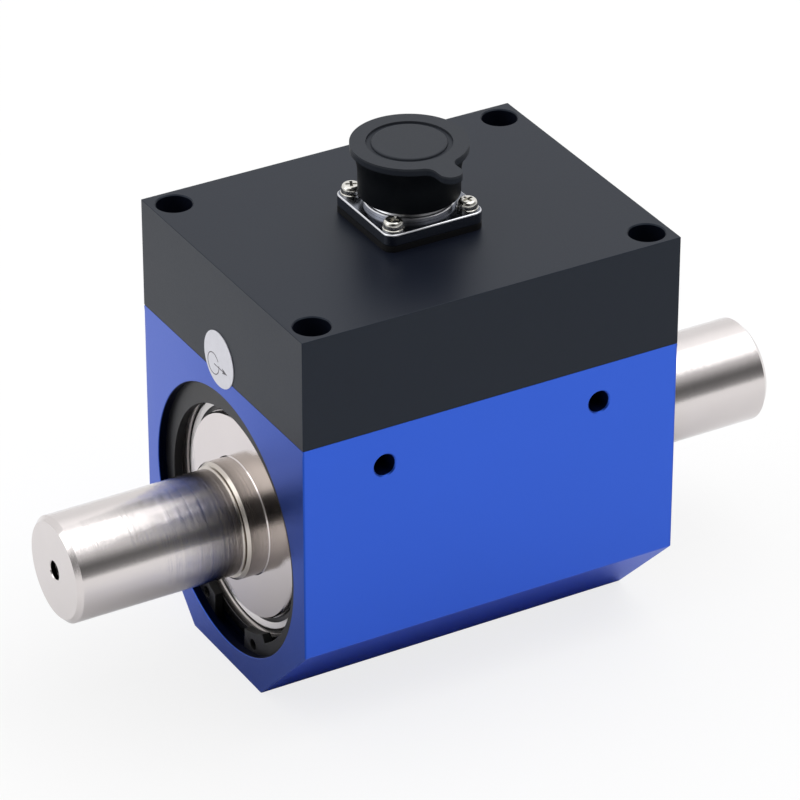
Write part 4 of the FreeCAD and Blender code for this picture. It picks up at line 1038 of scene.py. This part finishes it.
def makeCap():
    s = Sizes(**cap)
    bm = bmesh.new()
    z = s.top
    # outline of lip and tab, tab towards -Y, blended into the lip
    far = s.lip + s.blend
    across = s.tabHalf + s.blend
    along = sqrt(far ** 2 - across ** 2)
    share = s.lip / far
    lean = degrees(asin(across / far))
    endCentre = s.tabReach - s.tabHalf
    pen = Pen(bm, (across * share, -along * share, z))
    pen.arc((0, 0, z), 360 - 2 * lean, 132)
    pen.arc((-across, -along, z), lean - 90, 10)
    pen.line((-s.tabHalf, -endCentre, z))
    pen.arc((0, -endCentre, z), 180, 24)
    pen.line((s.tabHalf, -along, z))
    pen.arc((across, -along, z), lean - 90, 10)
    pen.close()
    outline = bm.edges[:]
    fillFlat(bm, outline + addRing(bm, s.groove[0][1], (0, 0, z), steps=120))
    wall, verts = pull(bm, outline, (0, 0, -s.lipThick))
    under = addRing(bm, s.skirt[0][1], (0, 0, z - s.lipThick), steps=120)
    fillFlat(bm, wall + under)
    mend(bm)
    soften(bm, s.edge, segments=4, sharper=69)
    for form in (s.groove, s.skirt):
        revolve(bm, [(z - depth, radius) for depth, radius in form], steps=120)
    turn = Matrix.Rotation(radians(s.turn), 3, "Z")
    bmesh.ops.rotate(bm, cent=(0, 0, 0), matrix=turn, verts=bm.verts)
    finishPiece("rubberCap", bm, "cap", "cap_rubber", ["dust_cap"], sharper=50)


finishes["cap_rubber"] = makeCapRubber("capRubber")
makeCap()
print("cap made")


# Round label with a plain arrow for the direction of turning

label = {
    "radius": 6.55, "y": 0.8, "z": 75.8, "thick": 0.2, "edge": 0.06, "ink": 0.02,
    "arcY": 3.2, "arcZ": 73.8, "arcRadius": 2.5, "arcStart": 60, "arcTurn": -340, "line": 0.22,
    "overlap": 0.3, "arrowTip": -3.1, "headLength": 2.0, "headHalf": 0.62, "headSweep": 0.3,
}


def makeLabel(name):
    g = newMaterial(name)
    fibre = g.noise(700, 3)
    return g.set(
        Base_Color=g.mix(fibre, rgb(206, 206, 214), rgb(220, 220, 228)),
        Roughness=g.around(0.47, (fibre, 0.1)), Normal=g.bump(fibre, 0.05, 0.03))


def makeLabelPieces():
    s = Sizes(**label)
    x = -halfLength
    bm = bmesh.new()
    place = Matrix.Translation(Vector((x, s.y, s.z)) * mm)
    bmesh.ops.create_circle(
        bm, cap_ends=True, segments=96, radius=s.radius * mm,
        matrix=place @ Matrix.Rotation(-pi / 2, 4, "Y"))
    raiseFlat(bm, bm.faces[:], -s.thick, "x")
    soften(bm, s.edge)
    finishPiece("directionLabel", bm, "block", "label_white", ["direction_label"], sharper=40)
    # printed arrow, a hair proud of the film
    bm = bmesh.new()
    face = x - s.thick
    half = s.line / 2
    ends = [bm.verts.new(Vector((face, s.arcY, s.arcZ + radius)) * mm)
            for radius in (s.arcRadius - half, s.arcRadius + half)]
    strip = [*ends, bm.edges.new(ends)]
    centre = Vector((face, s.arcY, s.arcZ)) * mm
    start = Matrix.Rotation(radians(s.arcStart), 3, "X")
    bmesh.ops.rotate(bm, cent=centre, matrix=start, verts=ends)
    bmesh.ops.spin(
        bm, geom=strip, cent=centre, axis=axes["x"], angle=radians(s.arcTurn), steps=60)
    tail = s.arcY - s.overlap
    neck = s.arrowTip + s.headLength
    corner = neck + s.headSweep
    arrow = drawLoop(bm, [(face, y, s.arcZ + z) for y, z in (
        (tail, -half), (neck, -half), (corner, -s.headHalf), (s.arrowTip, 0),
        (corner, s.headHalf), (neck, half), (tail, half))], "x")
    fillFlat(bm, arrow, "x")
    raiseFlat(bm, bm.faces[:], -s.ink, "x")
    finishPiece("directionArrow", bm, "block", "label_white", sharper=40, finish="ink_grey")


finishes["label_white"] = makeLabel("labelWhite")
finishes["ink_grey"] = makePlastic("inkGrey", rgb(84, 82, 90), roughness=0.5)
makeLabelPieces()
print("label made")


# The parts that come from the solids take the finish of their slot

for entry in frame["record"]["subparts"]:
    holder = frame["nodes"][entry["node"]]
    for spot in range(len(holder.data.materials)):
        holder.data.materials[spot] = finishes[entry["material_slot"]]
print("finishes made:", len(finishes))


# Camera, lights, floor

view = {
    "azimuth": -29.75, "elevation": 30.53, "roll": 0.03, "lens": 224.54, "sensor": 36,
    # where it is from the sensor's middle, in its own directions
    "across": -1.944, "up": 5.328, "away": 1094.112, "centreHeight": 46.584,
}


def makeCamera():
    s = Sizes(**view)
    a, e = radians(s.azimuth), radians(s.elevation)
    back = Vector((sin(a) * cos(e), -cos(a) * cos(e), sin(e)))
    right = Vector((cos(a), sin(a), 0))
    up = back.cross(right)
    spot = Vector((0, 0, s.centreHeight))
    spot = spot + right * s.across + up * s.up + back * s.away
    roll = Matrix.Rotation(radians(s.roll), 4, "Z")
    data = bpy.data.cameras.new("camera")
    data.lens = s.lens
    data.sensor_width = s.sensor
    data.clip_end = 20
    camera = addObject("camera", data)
    camera.matrix_world = Matrix.Translation(spot * mm) @ Matrix(
        (right, up, back)).transposed().to_4x4() @ roll
    bpy.context.scene.camera = camera


lamps = {
    # name: place, aim, width, height in metres, watts
    "overhead": ((0.38, -0.12, 0.95), (0, 0, 0.05), 0.8, 0.7, 2.2),
    "left": ((-0.95, 0.25, 0.6), (0, 0, 0.05), 0.6, 0.6, 1.2),
}


def makeLamps():
    for name, (spot, aim, width, height, power) in lamps.items():
        data = bpy.data.lights.new(name, "AREA")
        data.shape = "RECTANGLE"
        data.size = width
        data.size_y = height
        data.energy = power
        lamp = addObject(name, data)
        lamp.location = spot
        lamp.rotation_euler = (Vector(aim) - Vector(spot)).to_track_quat("-Z", "Y").to_euler()


floorLook = {
    # in metres: half the floor's size, and its darker spot under the sensor, a painted shadow
    "half": 4, "spot": (-0.062, -0.005), "core": 0.015, "reach": 0.09,
    "bright": 0.86, "shaded": 0.72, "whiteShare": 0.8,
}


def makeFloor():
    s = Sizes(**floorLook)
    bm = bmesh.new()
    bmesh.ops.create_grid(bm, x_segments=1, y_segments=1, size=s.half)
    mesh = bpy.data.meshes.new("floor")
    bm.to_mesh(mesh)
    bm.free()
    floor = addObject("floor", mesh)
    g = Graph(bpy.data.materials.new("floor"))
    g.tree.nodes.remove(g.shader)
    x, y, z = g.split()
    fromSpot = g.length(x - s.spot[0], y - s.spot[1])
    clear = g.smooth(fromSpot, s.core, s.reach)
    toCamera = g.node("ShaderNodeLightPath", output="Is Camera Ray")
    matt = g.node("ShaderNodeBsdfDiffuse", Color=g.mix(clear, grey(s.shaded), grey(s.bright)))
    white = g.node("ShaderNodeEmission", Color=grey(1))
    both = g.node("ShaderNodeMixShader", in0=toCamera * s.whiteShare, in1=matt, in2=white)
    g.feed(g.tree.nodes["Material Output"].inputs["Surface"], both)
    mesh.materials.append(g.holder)


room = {
    # (height from bottom 0 to top 1, brightness) of the walls
    "back": ((0.0, 0.95), (0.5, 1.0), (0.72, 1.3), (0.86, 1.5)),
    "front": ((0.0, 0.5), (0.16, 0.22), (0.36, 0.14), (0.5, 0.3), (0.64, 0.7), (0.78, 1.0),
              (0.9, 1.5)),
    "brightest": 1.5, "frontFrom": 0.15, "frontTo": -0.35,
    # the photographer's side, as a direction, and how far round it the room is dark
    "camera": (-0.427, -0.748, 0.508), "darkFrom": 0.84, "darkTo": 0.93, "darkness": 0.95,
}


def makeRoom():
    # a light tent, dark low down in front, brighter overhead
    s = Sizes(**room)
    world = bpy.data.worlds.new("room")
    bpy.context.scene.world = world
    g = Graph(world)
    x, y, z = g.split(g.node("ShaderNodeTexCoord", output="Generated"))
    top = s.brightest
    back, front = (g.ramp(z, *((spot, grey(level / top)) for spot, level in room[side]))
                   for side in ("back", "front"))
    walls = g.mix(g.smooth(y, s.frontFrom, s.frontTo), back, front)
    towards = x * s.camera[0] + y * s.camera[1] + z * s.camera[2]
    shut = g.smooth(towards, s.darkFrom, s.darkTo) * s.darkness
    background = g.tree.nodes["Background"]
    toCamera = g.node("ShaderNodeLightPath", output="Is Camera Ray")
    g.feed(background.inputs["Color"], g.mix(toCamera, g.mix(shut, walls, grey(0)), grey(1)))
    g.feed(background.inputs["Strength"], toCamera * (1 - top) + top)


makeCamera()
makeLamps()
makeFloor()
makeRoom()
bpy.context.scene.view_settings.view_transform = "Standard"
print("studio made")
